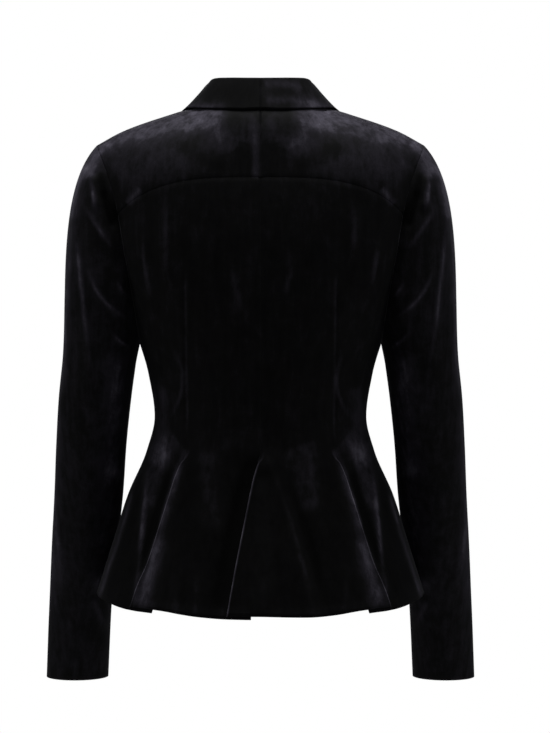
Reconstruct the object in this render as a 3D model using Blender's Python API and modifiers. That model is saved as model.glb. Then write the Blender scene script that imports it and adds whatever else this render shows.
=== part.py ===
"""Fitted velvet jacket with a peplum, filled out as if worn and open at neck, hem and cuffs.

Metres, +Z up. The front faces -Y and the wearer's left is +X. The origin lies on the
centre plane at the height of the neck base, midway between the front and the back.
Every piece is a cloth wall measured inward from its face, with a gap at each seam.
"""
import math

import bmesh
import bpy
import numpy as np

# Cloth and seams
WALL = 0.002
SEAM_GAP = 0.0008
REST_GAP = 0.0009
NECK_GAP = 0.0017

# Heights on the body
YOKE_CENTRE_Z = -0.090
YOKE_ARM_Z = -0.129
YOKE_BOW = 3.2
UNDERARM_Z = -0.275
CHEST_Z = -0.131
BREAK_Z = -0.300
PLEAT_TOP_Z = -0.392
PLEAT_CLOSED = 0.036
HEM_SIDE_Z = -0.564
HEM_BACK_DROP = 0.013
HEM_FRONT_DROP = 0.004
UNDERLAYER_DROP = 0.004

# Sections of the body: depth behind and in front of the side seam, 2 in square is an ellipse
SECTION_COLUMNS = ("z", "half_width", "back", "front", "square_back", "square_front")
BODY_SECTIONS = (
    (-0.620, 0.2080, 0.176, 0.163, 2.00, 1.80),
    (-0.570, 0.1920, 0.160, 0.150, 2.00, 1.80),
    (-0.500, 0.1700, 0.134, 0.131, 2.05, 1.85),
    (-0.450, 0.1540, 0.114, 0.117, 2.10, 1.95),
    (-0.400, 0.1325, 0.098, 0.105, 2.10, 2.10),
    (-0.360, 0.1232, 0.092, 0.101, 2.10, 2.10),
    (-0.310, 0.1305, 0.097, 0.105, 2.10, 2.10),
    (-0.275, 0.1405, 0.103, 0.112, 2.20, 2.20),
    (-0.220, 0.1590, 0.109, 0.117, 2.40, 2.40),
    (-0.170, 0.1750, 0.111, 0.108, 2.50, 2.50),
    (-0.131, 0.1840, 0.108, 0.095, 2.50, 2.50),
    (-0.090, 0.1970, 0.101, 0.080, 2.50, 2.50),
    (-0.060, 0.2050, 0.092, 0.070, 2.50, 2.50),
)

# Armhole seam: half width of its back and front edges at each height
ARMHOLE_COLUMNS = ("z", "back_x", "front_x")
ARMHOLE = (
    (-0.275, 0.1405, 0.1405),
    (-0.262, 0.1415, 0.1415),
    (-0.220, 0.1470, 0.1460),
    (-0.170, 0.1556, 0.1500),
    (-0.131, 0.1623, 0.1550),
    (-0.088, 0.1770, 0.1720),
)

# Shoulder seam, from the side of the neck to the tip of the shoulder
SHOULDER_COLUMNS = ("share", "x", "y", "z")
SHOULDER = (
    (0.00, 0.0700, 0.008, -0.0020),
    (0.15, 0.0880, 0.008, -0.0048),
    (0.30, 0.1060, 0.008, -0.0102),
    (0.75, 0.1600, 0.006, -0.0290),
    (1.00, 0.1900, 0.004, -0.0450),
)

# Neck seam at the back, an ellipse in plan
NECK_HALF_WIDTH = 0.0700
NECK_BACK = 0.0580
NECK_CENTRE_Y = 0.008
NECK_BACK_Z = -0.0060
NECK_SHARE = 0.42
SHOULDER_TILT = 0.05
NECK_RISE = 0.30
NECK_PULL = 0.95
SHOULDER_PULL = 1.35

# Pleats: face radius of the outer and inner folds, least cloth in each, hidden return
OUTER_RADIUS = 0.0028
INNER_RADIUS = 0.0007
OUTER_LEAST = 0.0042
INNER_LEAST = 0.0020
RETURN_LEAST = 0.0012
RETURN_HEM = 0.0240
PLEAT_CLEAR = 0.004
CENTRE_RAMP = 0.060
LIFT_SHARE = 0.5
LIFT_RAMP = 0.045
PLEAT_COLUMNS = ("z", "dart_fold_x", "centre_fold_x")
PLEAT_LINES = (
    (-0.585, 0.1475, 0.0388),
    (-0.570, 0.1420, 0.0362),
    (-0.532, 0.1298, 0.0296),
    (-0.482, 0.1140, 0.0197),
    (-0.432, 0.0980, 0.0094),
    (-0.392, 0.0840, 0.0000),
    (-0.300, 0.0850, 0.0000),
    (-0.080, 0.0850, 0.0000),
)

# Soft flutes of the peplum: angle from the centre back at pleat top and hem, degrees
FLUTE_COLUMNS = ("angle_top", "angle_hem", "width", "rise")
FLUTES = (
    (71.0, 57.0, 8.0, 0.0035),
    (-71.0, -57.0, 8.0, 0.0035),
    (-2.0, -20.5, 7.0, 0.0040),
    (128.0, 128.0, 13.0, 0.0060),
    (-128.0, -128.0, 13.0, 0.0060),
    (154.0, 154.0, 11.0, -0.0050),
    (-154.0, -154.0, 11.0, -0.0050),
)

# Sleeve sections below the armhole
SLEEVE_COLUMNS = ("z", "centre_x", "centre_y", "half_width", "half_depth")
SLEEVE_SECTIONS = (
    (-0.676, 0.2212, -0.099, 0.0372, 0.0410),
    (-0.590, 0.2162, -0.080, 0.0373, 0.0430),
    (-0.520, 0.2098, -0.058, 0.0388, 0.0460),
    (-0.449, 0.2024, -0.034, 0.0405, 0.0490),
    (-0.393, 0.1983, -0.018, 0.0411, 0.0520),
    (-0.337, 0.1931, -0.008, 0.0423, 0.0560),
    (-0.300, 0.1884, -0.004, 0.0428, 0.0580),
)
BICEPS_Z = -0.300
UNDERARM_CLEAR = 0.0020

# Collar: angle round the neck, heights above the seam, reach of the outer edge
COLLAR_COLUMNS = ("angle", "roll_in", "roll_z", "edge_radius", "edge_z")
COLLAR_BACK = (
    (0.0, 0.0080, 0.0258, 0.0690, -0.0096),
    (15.0, 0.0085, 0.0262, 0.0705, -0.0102),
    (30.0, 0.0090, 0.0270, 0.0725, -0.0088),
    (60.0, 0.0120, 0.0285, 0.0800, -0.0051),
    (90.0, 0.0150, 0.0275, 0.0870, -0.0012),
)
LAPEL_COLUMNS = ("share", "stand", "lean_in", "width")
LAPEL = (
    (0.00, 0.0300, 0.50, 0.0180),
    (0.12, 0.0240, 0.75, 0.0380),
    (0.30, 0.0100, 1.00, 0.0580),
    (0.55, 0.0050, 1.00, 0.0560),
    (0.80, 0.0030, 1.00, 0.0320),
    (1.00, 0.0012, 1.00, 0.0070),
)
ROLL_RADIUS = 0.0034
ROLL_TAPER = 0.18
BREAK_NOTCH = 0.0055
LAPEL_RISE = 0.008
COLLAR_WALL = 0.002

# Grid of each piece
YOKE_GRID = (13, 8)
BACK_LEVELS = (-0.090, -0.108, -0.130, -0.160, -0.195, -0.230, -0.256, -0.269, -0.275, -0.305,
               -0.335, -0.360, -0.380, -0.392, -0.400, -0.410, -0.424, -0.442, -0.465,
               -0.500, -0.540, -0.577)
CENTRE_COLUMNS = 8
SIDE_COLUMNS = 7
ARC_STEPS = 4
FRONT_LEVELS = (-0.131, -0.160, -0.195, -0.230, -0.256, -0.269, -0.275, -0.284, -0.292, -0.300, -0.330, -0.360,
                -0.392, -0.425, -0.465, -0.515, -0.568)
FRONT_COLUMNS = 12
FRONT_UPPER_ROWS = 8
SLEEVE_COLUMNS_ROUND = 24
SLEEVE_CAP_ROWS = 7
SLEEVE_LEVELS = (-0.340, -0.385, -0.430, -0.480, -0.535, -0.600, -0.676)
COLLAR_BACK_STATIONS = 6
COLLAR_FRONT_STATIONS = 18
STATION_GATHER = 1.25


def smooth_table(rows):
    """Reader of a table on a monotone cubic along its first column."""
    data = np.array(sorted(rows), float)
    x, y = data[:, 0], data[:, 1:]
    h = np.diff(x)[:, None]
    slope = np.diff(y, axis=0) / h
    tangent = np.zeros_like(y)
    tangent[0], tangent[-1] = slope[0], slope[-1]
    before, after = slope[:-1], slope[1:]
    w1, w2 = 2 * h[1:] + h[:-1], h[1:] + 2 * h[:-1]
    same = before * after > 0
    safe_before = np.where(same, before, 1.0)
    safe_after = np.where(same, after, 1.0)
    tangent[1:-1] = np.where(same, (w1 + w2) / (w1 / safe_before + w2 / safe_after), 0.0)

    def read(at):
        at = np.asarray(at, float)
        k = np.clip(np.searchsorted(x, at) - 1, 0, len(x) - 2)
        step = h[k, 0]
        t = np.clip((at - x[k]) / step, 0.0, 1.0)[..., None]
        step = step[..., None]
        values = (y[k] * (1 + 2 * t) * (1 - t) ** 2 + tangent[k] * step * t * (1 - t) ** 2
                  + y[k + 1] * t * t * (3 - 2 * t) + tangent[k + 1] * step * t * t * (t - 1))
        return np.moveaxis(values, -1, 0)

    return read


body_section = smooth_table(BODY_SECTIONS)
armhole_edge = smooth_table(ARMHOLE)
shoulder_line = smooth_table(SHOULDER)
pleat_line = smooth_table(PLEAT_LINES)
sleeve_section = smooth_table(SLEEVE_SECTIONS)
collar_back = smooth_table(COLLAR_BACK)
lapel = smooth_table(LAPEL)


def smooth_step(t):
    t = np.clip(t, 0.0, 1.0)
    return t * t * (3 - 2 * t)


def peplum_share(z):
    """0 at the top of the pleats, 1 at the back hem."""
    hem = HEM_SIDE_Z - HEM_BACK_DROP
    return np.clip((PLEAT_TOP_Z - z) / (PLEAT_TOP_Z - hem), 0.0, 1.1)


def body_point(angle, z, offset=0.0):
    """Point on the body face at an angle from the centre back, positive to the wearer's left."""
    angle, z = np.broadcast_arrays(np.asarray(angle, float), np.asarray(z, float))
    flat = np.stack((body_radius(angle, z) * np.sin(angle), body_radius(angle, z) * np.cos(angle)))
    ahead = np.stack((body_radius(angle + 1e-4, z) * np.sin(angle + 1e-4),
                      body_radius(angle + 1e-4, z) * np.cos(angle + 1e-4)))
    run = ahead - flat
    length = np.sqrt((run ** 2).sum(axis=0))
    out = np.stack((-run[1], run[0])) / length
    return np.stack((flat[0] + offset * out[0], flat[1] + offset * out[1], z), axis=-1)


def body_radius(angle, z):
    half_width, back, front, square_back, square_front = body_section(z)
    depth = np.where(np.cos(angle) > 0, back, front)
    square = np.where(np.cos(angle) > 0, square_back, square_front)
    s, c = np.abs(np.sin(angle)), np.abs(np.cos(angle))
    radius = ((s / half_width) ** square + (c / depth) ** square) ** (-1 / square)
    share = peplum_share(z)
    for top, hem, width, rise in FLUTES:
        centre = np.radians(top + (hem - top) * share)
        away = (angle - centre + np.pi) % (2 * np.pi) - np.pi
        radius = radius + rise * share * np.exp(-(away / np.radians(width)) ** 2)
    return radius


def run_per_angle(angle, z):
    """Length along the body face for each radian."""
    step = 1e-3
    move = body_point(angle + step, z) - body_point(angle - step, z)
    return np.sqrt((move ** 2).sum(axis=-1)) / (2 * step)


def angle_at(x, z, behind=True):
    """Angle at which the section has the half width x, on the back or on the front."""
    half_width, back, front, square_back, square_front = body_section(z)
    square = square_back if behind else square_front
    share = np.clip(np.abs(x) / half_width, 0.0, 1.0)
    y = (1 - share ** square) ** (1 / square) * (back if behind else -front)
    return np.arctan2(x, y)


def hermite(start, start_pull, end, end_pull, t):
    return (start * (1 + 2 * t) * (1 - t) ** 2 + start_pull * t * (1 - t) ** 2
            + end * t * t * (3 - 2 * t) + end_pull * t * t * (t - 1))


def unit(vectors):
    return vectors / np.sqrt((vectors ** 2).sum(axis=-1, keepdims=True))


def rise_along(angle, z):
    """Upward tangent of the body face at a fixed angle."""
    return unit(body_point(angle, z + 1e-3) - body_point(angle, z - 1e-3))


def neck_point(angle):
    """Back neck seam, angle 0 at the centre back and a quarter turn at the shoulder seam."""
    share = np.sin(angle) ** 4
    side_z = SHOULDER[0][3]
    return np.stack((NECK_HALF_WIDTH * np.sin(angle),
                     NECK_CENTRE_Y + NECK_BACK * np.cos(angle),
                     NECK_BACK_Z + (side_z - NECK_BACK_Z) * share), axis=-1)


def shoulder_point(share):
    return np.stack(shoulder_line(share), axis=-1)


def yoke_top(f):
    """Top edge of the yoke and the pull of the cloth there, from centre back to shoulder tip."""
    f = np.asarray(f, float)
    angle = np.clip(f / NECK_SHARE, 0, 1) * np.pi / 2
    along = np.clip((f - NECK_SHARE) / (1 - NECK_SHARE), 0, 1)
    edge = np.where((f < NECK_SHARE)[..., None], neck_point(angle), shoulder_point(along))
    outer = smooth_step(f / NECK_SHARE)
    pull = unit(np.stack((0.0 * f, -1.0 + 0.0 * f, NECK_RISE * (1 - outer) + SHOULDER_TILT), axis=-1))
    return edge, pull * (NECK_PULL + (SHOULDER_PULL - NECK_PULL) * outer)[..., None]


def yoke_seam_z(f):
    return YOKE_CENTRE_Z + (YOKE_ARM_Z - YOKE_CENTRE_Z) * f ** YOKE_BOW


def yoke_point(f, v):
    """Yoke face: f from the centre back to the armhole, v from the yoke seam to the top."""
    f, v = np.broadcast_arrays(np.asarray(f, float), np.asarray(v, float))
    z = yoke_seam_z(f)
    angle = angle_at(f * armhole_edge(z)[0], z)
    low = body_point(angle, z)
    high, pull = yoke_top(f)
    reach = np.sqrt(((high - low) ** 2).sum(axis=-1, keepdims=True))
    return hermite(low, rise_along(angle, z) * reach * 1.05, high, pull * reach, v[..., None])


def front_edge_x(z):
    """Half width of the front edge: closed below the break, opening to the side of the neck."""
    share = np.clip((z - BREAK_Z) / (SHOULDER[0][3] - BREAK_Z), 0, 1)
    notch = BREAK_NOTCH * smooth_step((z - BREAK_Z) / LAPEL_RISE)
    return SEAM_GAP / 2 + notch + (SHOULDER[0][1] - BREAK_NOTCH - SEAM_GAP / 2) * share ** 1.15


def front_upper_point(u, v):
    """Front above the chest: u from the armhole to the front edge, v from chest to shoulder."""
    u, v = np.broadcast_arrays(np.asarray(u, float), np.asarray(v, float))
    z = np.full_like(u, CHEST_Z)
    arm = angle_at(armhole_edge(z)[1], z, behind=False)
    edge = angle_at(front_edge_x(z), z, behind=False)
    angle = arm + (edge - arm) * u
    low = body_point(angle, z)
    high = shoulder_point(1 - u)
    reach = np.sqrt(((high - low) ** 2).sum(axis=-1, keepdims=True))
    pull = unit(np.stack((0.0 * u, 1.0 + 0.0 * u, 0.0 * u - SHOULDER_TILT), axis=-1))
    return hermite(low, rise_along(angle, z) * reach * 1.0, high, pull * reach * 0.9, v[..., None])


def front_lower_point(u, z, offset=0.0):
    """Front below the chest: u from the armhole or side seam to the front edge."""
    arm = np.where(z > UNDERARM_Z, angle_at(armhole_edge(z)[1], z, behind=False), np.pi / 2)
    edge = angle_at(front_edge_x(z), z, behind=False)
    return body_point(arm + (edge - arm) * u, z, offset)


def pleat_path(turn, depth, second_fold):
    """Face of a knife pleat across the cloth: run and drop from its fold line, row by row."""
    turn = np.maximum(np.asarray(turn, float), 1e-5)[:, None]
    depth = np.asarray(depth, float)[:, None]
    outer = np.maximum(OUTER_RADIUS, OUTER_LEAST / turn)
    k = np.linspace(0, 1, ARC_STEPS + 1)[None, :]
    run = [outer * np.sin(turn * k)]
    drop = [outer * (1 - np.cos(turn * k))]
    run.append(run[0][:, -1:] + depth * np.cos(turn))
    drop.append(drop[0][:, -1:] + depth * np.sin(turn))
    if second_fold:
        inner = np.maximum(INNER_RADIUS, INNER_LEAST / turn)
        k = k[:, 1:]
        run.append(run[1] + inner * (np.sin(turn) - np.sin(turn * (1 - k))))
        drop.append(drop[1] + inner * (np.cos(turn * (1 - k)) - np.cos(turn)))
    quarter = np.minimum(turn, np.pi / 2)
    fold = outer * np.sin(quarter) + np.where(turn < np.pi / 2, depth * np.cos(turn), 0)
    return np.hstack(run) - fold, np.hstack(drop)


def pleat_shape(z):
    """How far a pleat is turned over and how deep its return is at each height."""
    below = PLEAT_TOP_Z - z
    depth = RETURN_LEAST + (RETURN_HEM - RETURN_LEAST) * peplum_share(z)
    return np.pi * smooth_step(below / PLEAT_CLOSED), depth


def hem_z(angle):
    behind = np.clip(np.cos(angle), 0, 1)
    before = np.clip(-np.cos(angle), 0, 1)
    return HEM_SIDE_Z - HEM_BACK_DROP * behind - HEM_FRONT_DROP * before


def level_heights(levels, angle, drop, f):
    """Heights of a back panel's rows: along the yoke seam above, along the hem below."""
    base = np.array(levels)[:, None]
    top = smooth_step((base + 0.220) / (YOKE_CENTRE_Z + 0.220))
    low = np.clip((PLEAT_TOP_Z - base) / (PLEAT_TOP_Z - base[-1]), 0, 1)
    z = base + top * (yoke_seam_z(f) - YOKE_CENTRE_Z)
    z = z + low ** 2 * (hem_z(angle) - base[-1])
    return z - UNDERLAYER_DROP * low * drop / (2 * OUTER_RADIUS)


def side_end(z):
    """Angle at which a back row ends, on the armhole or on the side seam."""
    end = np.where(z > UNDERARM_Z, angle_at(armhole_edge(z)[0], z), np.pi / 2)
    return end - SEAM_GAP / 2 / run_per_angle(end, z)


def back_panel_points(side):
    """Face of one half of the back, from the centre seam to the side seam and armhole."""
    levels = np.array(BACK_LEVELS)
    dart_x, centre_x = pleat_line(levels)
    turn, depth = pleat_shape(levels)
    dart = angle_at(dart_x, levels)[:, None]
    centre = angle_at(centre_x, levels)[:, None]
    near = run_per_angle(np.zeros_like(levels), levels)[:, None]
    over_run, over_drop = pleat_path(turn, depth, False)
    half_turn = turn[:, None] / 2
    if side < 0:
        start = -centre + (SEAM_GAP / 2 - over_run[:, ::-1]) / near
        start_drop = over_drop[:, ::-1]
    else:
        start = centre + (over_run[:, -1:] + SEAM_GAP * (np.cos(half_turn) - 0.5)) / near
        start_drop = over_drop[:, -1:] + SEAM_GAP * np.sin(half_turn)
    start_drop = start_drop - LIFT_SHARE * over_drop[:, -1:]
    fold_run, fold_drop = pleat_path(turn, depth, True)
    fold_drop = fold_drop - LIFT_SHARE * fold_drop[:, -1:]
    fold = dart + fold_run / run_per_angle(dart[:, 0], levels)[:, None]
    k = np.linspace(0, 1, CENTRE_COLUMNS + 1)[None, 1:-1]
    centre_angle = start[:, -1:] + (fold[:, :1] - start[:, -1:]) * k
    hold = PLEAT_CLEAR if side > 0 else depth[:, None] + 2 * PLEAT_CLEAR
    past = (centre_angle - side * centre) * near - hold
    centre_drop = start_drop[:, -1:] * (1 - smooth_step(past / CENTRE_RAMP))
    short = (fold[:, :1] - centre_angle) * near - depth[:, None] - PLEAT_CLEAR
    centre_drop = centre_drop + fold_drop[:, :1] * (1 - smooth_step(short / LIFT_RAMP))
    k = np.linspace(0, 1, SIDE_COLUMNS + 1)[None, 1:]
    end = side_end(levels)[:, None]
    for _ in range(4):
        side_angle = fold[:, -1:] + (end - fold[:, -1:]) * k
        past = (side_angle - dart) / (end - dart)
        side_drop = fold_drop[:, -1:] * (1 - smooth_step(past / 0.9))
        angle = np.hstack((start, centre_angle, fold, side_angle))
        drop = np.hstack((start_drop, centre_drop, fold_drop, side_drop))
        z = levels[:, None] + 0 * angle if _ == 0 else z
        f = np.clip(np.abs(body_point(angle, z)[..., 0]) / armhole_edge(z)[0], 0, 1)
        z = level_heights(levels, angle, drop, f)
        end = side_end(z[:, -1])[:, None]
    z[0] = z[0] - SEAM_GAP
    return body_point(side * angle, z, -drop)


def armhole_loop(count):
    """Armhole seam points by sleeve angle: 0 at the shoulder tip, half a turn at the underarm."""
    z = np.linspace(YOKE_ARM_Z, UNDERARM_Z, 60)
    back = np.vstack((yoke_point(1.0, np.linspace(1, 0, 40)),
                      body_point(angle_at(armhole_edge(z)[0], z), z)[1:]))
    z = np.linspace(CHEST_Z, UNDERARM_Z, 60)
    front = np.vstack((front_upper_point(0.0, np.linspace(1, 0, 40)),
                       body_point(angle_at(armhole_edge(z)[1], z, behind=False), z)[1:]))
    turn = np.linspace(0, 2 * np.pi, count + 1)
    loop = []
    for angle in turn:
        half = back if angle <= np.pi else front
        share = angle / np.pi if angle <= np.pi else 2 - angle / np.pi
        length = np.concatenate(([0], np.cumsum(np.sqrt((np.diff(half, axis=0) ** 2).sum(axis=1)))))
        loop.append([np.interp(share * length[-1], length, half[:, i]) for i in range(3)])
    return turn, np.array(loop)


def sleeve_ring(turn, z):
    centre_x, centre_y, half_width, half_depth = sleeve_section(z)
    return np.stack((centre_x + half_width * np.cos(turn), centre_y + half_depth * np.sin(turn),
                     z + 0 * turn), axis=-1)


def sleeve_points(count, cap_rows, levels):
    """Face of the left sleeve: the cap from the armhole to the biceps, then rings to the cuff."""
    turn, loop = armhole_loop(count)
    c, s = np.cos(turn), np.sin(turn)
    pull = unit(np.stack((0.44 + 0.30 * c, 0.34 * s, -0.78 - 0.12 * (1 - c)), axis=-1))
    start = loop + pull * SEAM_GAP
    start[:, 0] += UNDERARM_CLEAR * (1 - c) / 2
    ring = sleeve_ring(turn, np.full_like(turn, BICEPS_Z))
    below = sleeve_ring(turn, np.full_like(turn, BICEPS_Z - 0.002))
    reach = np.sqrt(((ring - start) ** 2).sum(axis=-1, keepdims=True))
    rows = [hermite(start, pull * reach * (0.58 + 0.24 * c[:, None]), ring,
                    unit(below - ring) * reach * 0.85, t)
            for t in np.linspace(0, 1, cap_rows + 1) ** 1.15]
    rows += [sleeve_ring(turn, np.full_like(turn, z)) for z in levels]
    return np.array(rows)


def collar_points(back_stations, front_stations, roll_steps, fall_steps):
    """Face of the left half collar, from the centre back to the break of the lapel."""
    sections = []
    for angle in np.linspace(0, 90, back_stations + 1):
        roll_in, roll_z, edge_radius, edge_z = collar_back(angle)
        turn = math.radians(angle)
        plan = unit(np.array((math.sin(turn) * NECK_BACK, math.cos(turn) * NECK_HALF_WIDTH, 0)))
        seam = neck_point(np.array(turn))
        base = seam - plan * WALL + np.array((0, 0, NECK_GAP))
        roll = np.array((*(seam - plan * (roll_in + WALL))[:2], roll_z - ROLL_RADIUS))
        reach = edge_radius - NECK_BACK * math.cos(turn) ** 2 - NECK_HALF_WIDTH * math.sin(turn) ** 2
        edge = np.array((*(seam + plan * reach)[:2], edge_z))
        over = roll_over(base, roll, plan, ROLL_RADIUS, roll_steps)
        k = np.linspace(0, 1, fall_steps + 1)[1:, None]
        sections.append(np.vstack((over, over[-1] + (edge - over[-1]) * k)))
    for share in np.linspace(0, 1, front_stations + 1)[1:] ** STATION_GATHER:
        sections.append(lapel_section(share, roll_steps, fall_steps))
    return np.array(sections)


def roll_over(base, roll, out, radius, steps):
    """Up the stand of the collar and over its roll."""
    rise = unit(roll - base)
    out = unit(out - rise * (out @ rise))
    turn = np.linspace(0, np.pi, steps + 1)[:, None]
    bend = roll + radius * (out * (1 - np.cos(turn)) + rise * np.sin(turn))
    return np.vstack((base, (base + roll) / 2, bend))


def front_face(u, z):
    """Front face at a share u across the row whose front edge has the height z."""
    u = np.asarray(u, float)
    if z >= CHEST_Z:
        return front_upper_point(u, (z - CHEST_Z) / (SHOULDER[0][3] - CHEST_Z))
    return front_lower_point(u, np.full_like(u, z))


def lapel_section(share, roll_steps, fall_steps):
    """Across the lapel: a short stand at the front edge, the roll, then the fall on the front."""
    stand, lean_in, width = lapel(share)
    z = SHOULDER[0][3] + (BREAK_Z + LAPEL_RISE - SHOULDER[0][3]) * share
    u = np.linspace(0, 1, 121)
    row, above, below = front_face(u, z), front_face(u, min(z + 0.002, SHOULDER[0][3])), front_face(u, z - 0.002)
    along = np.gradient(row, axis=0)
    normal = unit(np.cross(above - below, along))
    length = np.concatenate(([0], np.cumsum(np.sqrt((np.diff(row, axis=0) ** 2).sum(axis=1)))))

    def place(back, lift):
        at = length[-1] - back
        return np.array([np.interp(at, length, row[:, i] + lift * normal[:, i]) for i in range(3)])

    seam = place(0.0, 0.0)
    inward = unit(seam - place(0.006, 0.0))
    rise = unit(inward * lean_in + np.array((0, 0, 1.0)) * (1 - lean_in))
    base = place(0.0, -WALL) + inward * NECK_GAP
    radius = ROLL_RADIUS * (1 - ROLL_TAPER * share ** 4)
    over = roll_over(base, base + rise * stand, normal[-1], radius, roll_steps)
    rest = COLLAR_WALL + REST_GAP * (1 + max(0.0, 1 - 3 * share))
    lift = (over[-1] - seam) @ normal[-1]
    fall = [place(width * k, rest + (lift - rest) * (1 - k) ** 1.5)
            for k in np.linspace(0, 1, fall_steps + 1)[1:]]
    return np.vstack((over, fall))


def cloth_material(name, grey):
    material = bpy.data.materials.new(name)
    material.use_nodes = True
    shader = material.node_tree.nodes["Principled BSDF"]
    shader.inputs["Base Color"].default_value = (grey, grey, grey * 1.06, 1)
    shader.inputs["Roughness"].default_value = 0.9
    return material


def cloth_piece(name, points, grey, mirrored=False, closed=False):
    """One piece of cloth: a grid laid on the face points, given its wall inward."""
    rows, columns = points.shape[:2]
    if mirrored:
        points = points * np.array((-1.0, 1.0, 1.0))
    mesh = bpy.data.meshes.new(name)
    grid = bmesh.new()
    bmesh.ops.create_grid(grid, x_segments=columns - 1, y_segments=rows - 1, size=1.0)
    grid.verts.ensure_lookup_table()
    for vertex, place in zip(grid.verts, points.reshape(-1, 3)):
        vertex.co = place
    if closed:
        bmesh.ops.remove_doubles(grid, verts=grid.verts, dist=1e-6)
    grid.to_mesh(mesh)
    grid.free()
    piece = bpy.data.objects.new(name, mesh)
    bpy.context.scene.collection.objects.link(piece)
    mesh.materials.append(cloth_material(name + "_cloth", grey))
    wall = piece.modifiers.new("wall", "SOLIDIFY")
    wall.thickness = WALL
    wall.use_even_offset = True
    wall.use_rim = True
    wall.offset = -1.0
    return piece


def face_outward(piece, toward):
    """Turn the grid over where its faces look against the given way."""
    mesh = piece.data
    total = np.zeros(3)
    for polygon in mesh.polygons:
        total += np.array(polygon.normal) * polygon.area
    if total @ np.array(toward) < 0:
        mesh.flip_normals()


def build():
    for thing in list(bpy.data.objects):
        bpy.data.objects.remove(thing)
    v = 1 - np.linspace(1, 0, YOKE_GRID[1] + 1)[:, None] ** 1.4
    f = np.linspace(0, 1, YOKE_GRID[0] + 1)[None, :]
    yoke = yoke_point(f + 0 * v, v + 0 * f)
    yoke[:, 0, 0] += SEAM_GAP / 2
    yoke[-1, :, 1] += SEAM_GAP / 2
    chest = np.array(FRONT_LEVELS)[:, None]
    u = np.linspace(0, 1, FRONT_COLUMNS + 1)[None, :]
    low_share = np.clip((PLEAT_TOP_Z - chest) / (PLEAT_TOP_Z - chest[-1]), 0, 1)
    angle = np.pi / 2 + u * np.pi / 2
    chest = chest + low_share ** 2 * (hem_z(angle) - chest[-1])
    lower = front_lower_point(u + 0 * chest, chest + 0 * u)
    upper_v = 1 - np.linspace(0, 1, FRONT_UPPER_ROWS + 1)[:-1, None] ** 1.4
    upper = front_upper_point(u + 0 * upper_v, upper_v + 0 * u)
    upper[0, :, 1] -= SEAM_GAP / 2
    front = np.concatenate((upper, lower))
    side_edge = front[:, 0]
    side_edge[:, 1] -= np.where(side_edge[:, 2] <= UNDERARM_Z, SEAM_GAP / 2, 0)
    sleeve = sleeve_points(SLEEVE_COLUMNS_ROUND, SLEEVE_CAP_ROWS, SLEEVE_LEVELS)
    collar = collar_points(COLLAR_BACK_STATIONS, COLLAR_FRONT_STATIONS, 4, 4)
    collar[0, :, 0] += SEAM_GAP / 2
    for side, mirrored in (("left", False), ("right", True)):
        sign = -1.0 if mirrored else 1.0
        face_outward(cloth_piece("yoke_" + side, yoke, 0.030, mirrored), (0, 1, 1))
        face_outward(cloth_piece("back_" + side, back_panel_points(sign), 0.020), (0, 1, 0))
        face_outward(cloth_piece("front_" + side, front, 0.022, mirrored), (0, -1, 0))
        face_outward(cloth_piece("collar_" + side, collar, 0.034, mirrored), (sign, 0, 0))
        face_sleeve = cloth_piece("sleeve_" + side, sleeve, 0.018, mirrored, closed=True)
        if mirrored:
            face_sleeve.data.flip_normals()


build()
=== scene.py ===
# %% [markdown]
# # A black velvet jacket with a peplum, seen from behind
#
# The jacket is sewn from ten pieces: two yokes, two back halves, two fronts, two collar
# halves and two sleeves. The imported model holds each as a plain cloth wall. Here each wall
# is laid again as a fine sheet on the same form, with its seams, darts and creases, and
# gets a velvet finish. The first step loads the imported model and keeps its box.

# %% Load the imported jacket
import math

import bpy
import numpy as np
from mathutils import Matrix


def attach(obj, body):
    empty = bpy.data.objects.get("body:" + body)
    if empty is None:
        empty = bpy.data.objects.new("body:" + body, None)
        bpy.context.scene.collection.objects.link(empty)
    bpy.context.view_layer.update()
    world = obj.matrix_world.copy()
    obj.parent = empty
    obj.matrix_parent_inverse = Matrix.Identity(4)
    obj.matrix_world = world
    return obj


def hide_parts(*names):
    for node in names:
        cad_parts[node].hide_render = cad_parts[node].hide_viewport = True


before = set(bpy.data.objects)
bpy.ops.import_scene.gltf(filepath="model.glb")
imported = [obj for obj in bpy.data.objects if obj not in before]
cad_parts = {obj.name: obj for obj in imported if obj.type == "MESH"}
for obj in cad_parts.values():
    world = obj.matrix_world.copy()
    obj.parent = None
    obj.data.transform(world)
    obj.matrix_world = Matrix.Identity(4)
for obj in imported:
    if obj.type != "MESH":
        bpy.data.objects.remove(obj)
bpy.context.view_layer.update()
print("pieces to dress:", sorted(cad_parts))

# %% [markdown]
# ## The camera
#
# The jacket is photographed square from behind, from a little under the chest. A long
# lens keeps the sleeves and the back at one scale. The lens follows from how many
# millimetres of jacket one picture row shows, so the outline lands where it should.

# %% Camera behind the jacket
PICTURE_WIDTH, PICTURE_HEIGHT = 550, 733
METRES_PER_ROW = 0.001165
CAMERA_REACH = 2.6
CAMERA_HEIGHT = -0.302
CENTRE_COLUMN = 260.5
SENSOR = 24.0

camera_data = bpy.data.cameras.new("camera")
camera_data.sensor_fit = "VERTICAL"
camera_data.sensor_height = SENSOR
camera_data.lens = SENSOR * CAMERA_REACH / (PICTURE_HEIGHT * METRES_PER_ROW)
camera_data.shift_x = (PICTURE_WIDTH / 2 - CENTRE_COLUMN) / PICTURE_HEIGHT
camera = bpy.data.objects.new("camera", camera_data)
camera.location = (0, CAMERA_REACH, CAMERA_HEIGHT)
camera.rotation_euler = (math.pi / 2, 0, math.pi)
bpy.context.scene.collection.objects.link(camera)
bpy.context.scene.camera = camera
print("lens", round(camera_data.lens, 2), "mm")

# %% [markdown]
# ## Reading the size tables
#
# A jacket's form is given by a few measured sections. Straight lines between them would
# show as kinks, and an ordinary smooth curve can swing past the sizes. A monotone cubic
# is smooth and stays between neighbouring sizes, so every table here is read through one.

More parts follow.
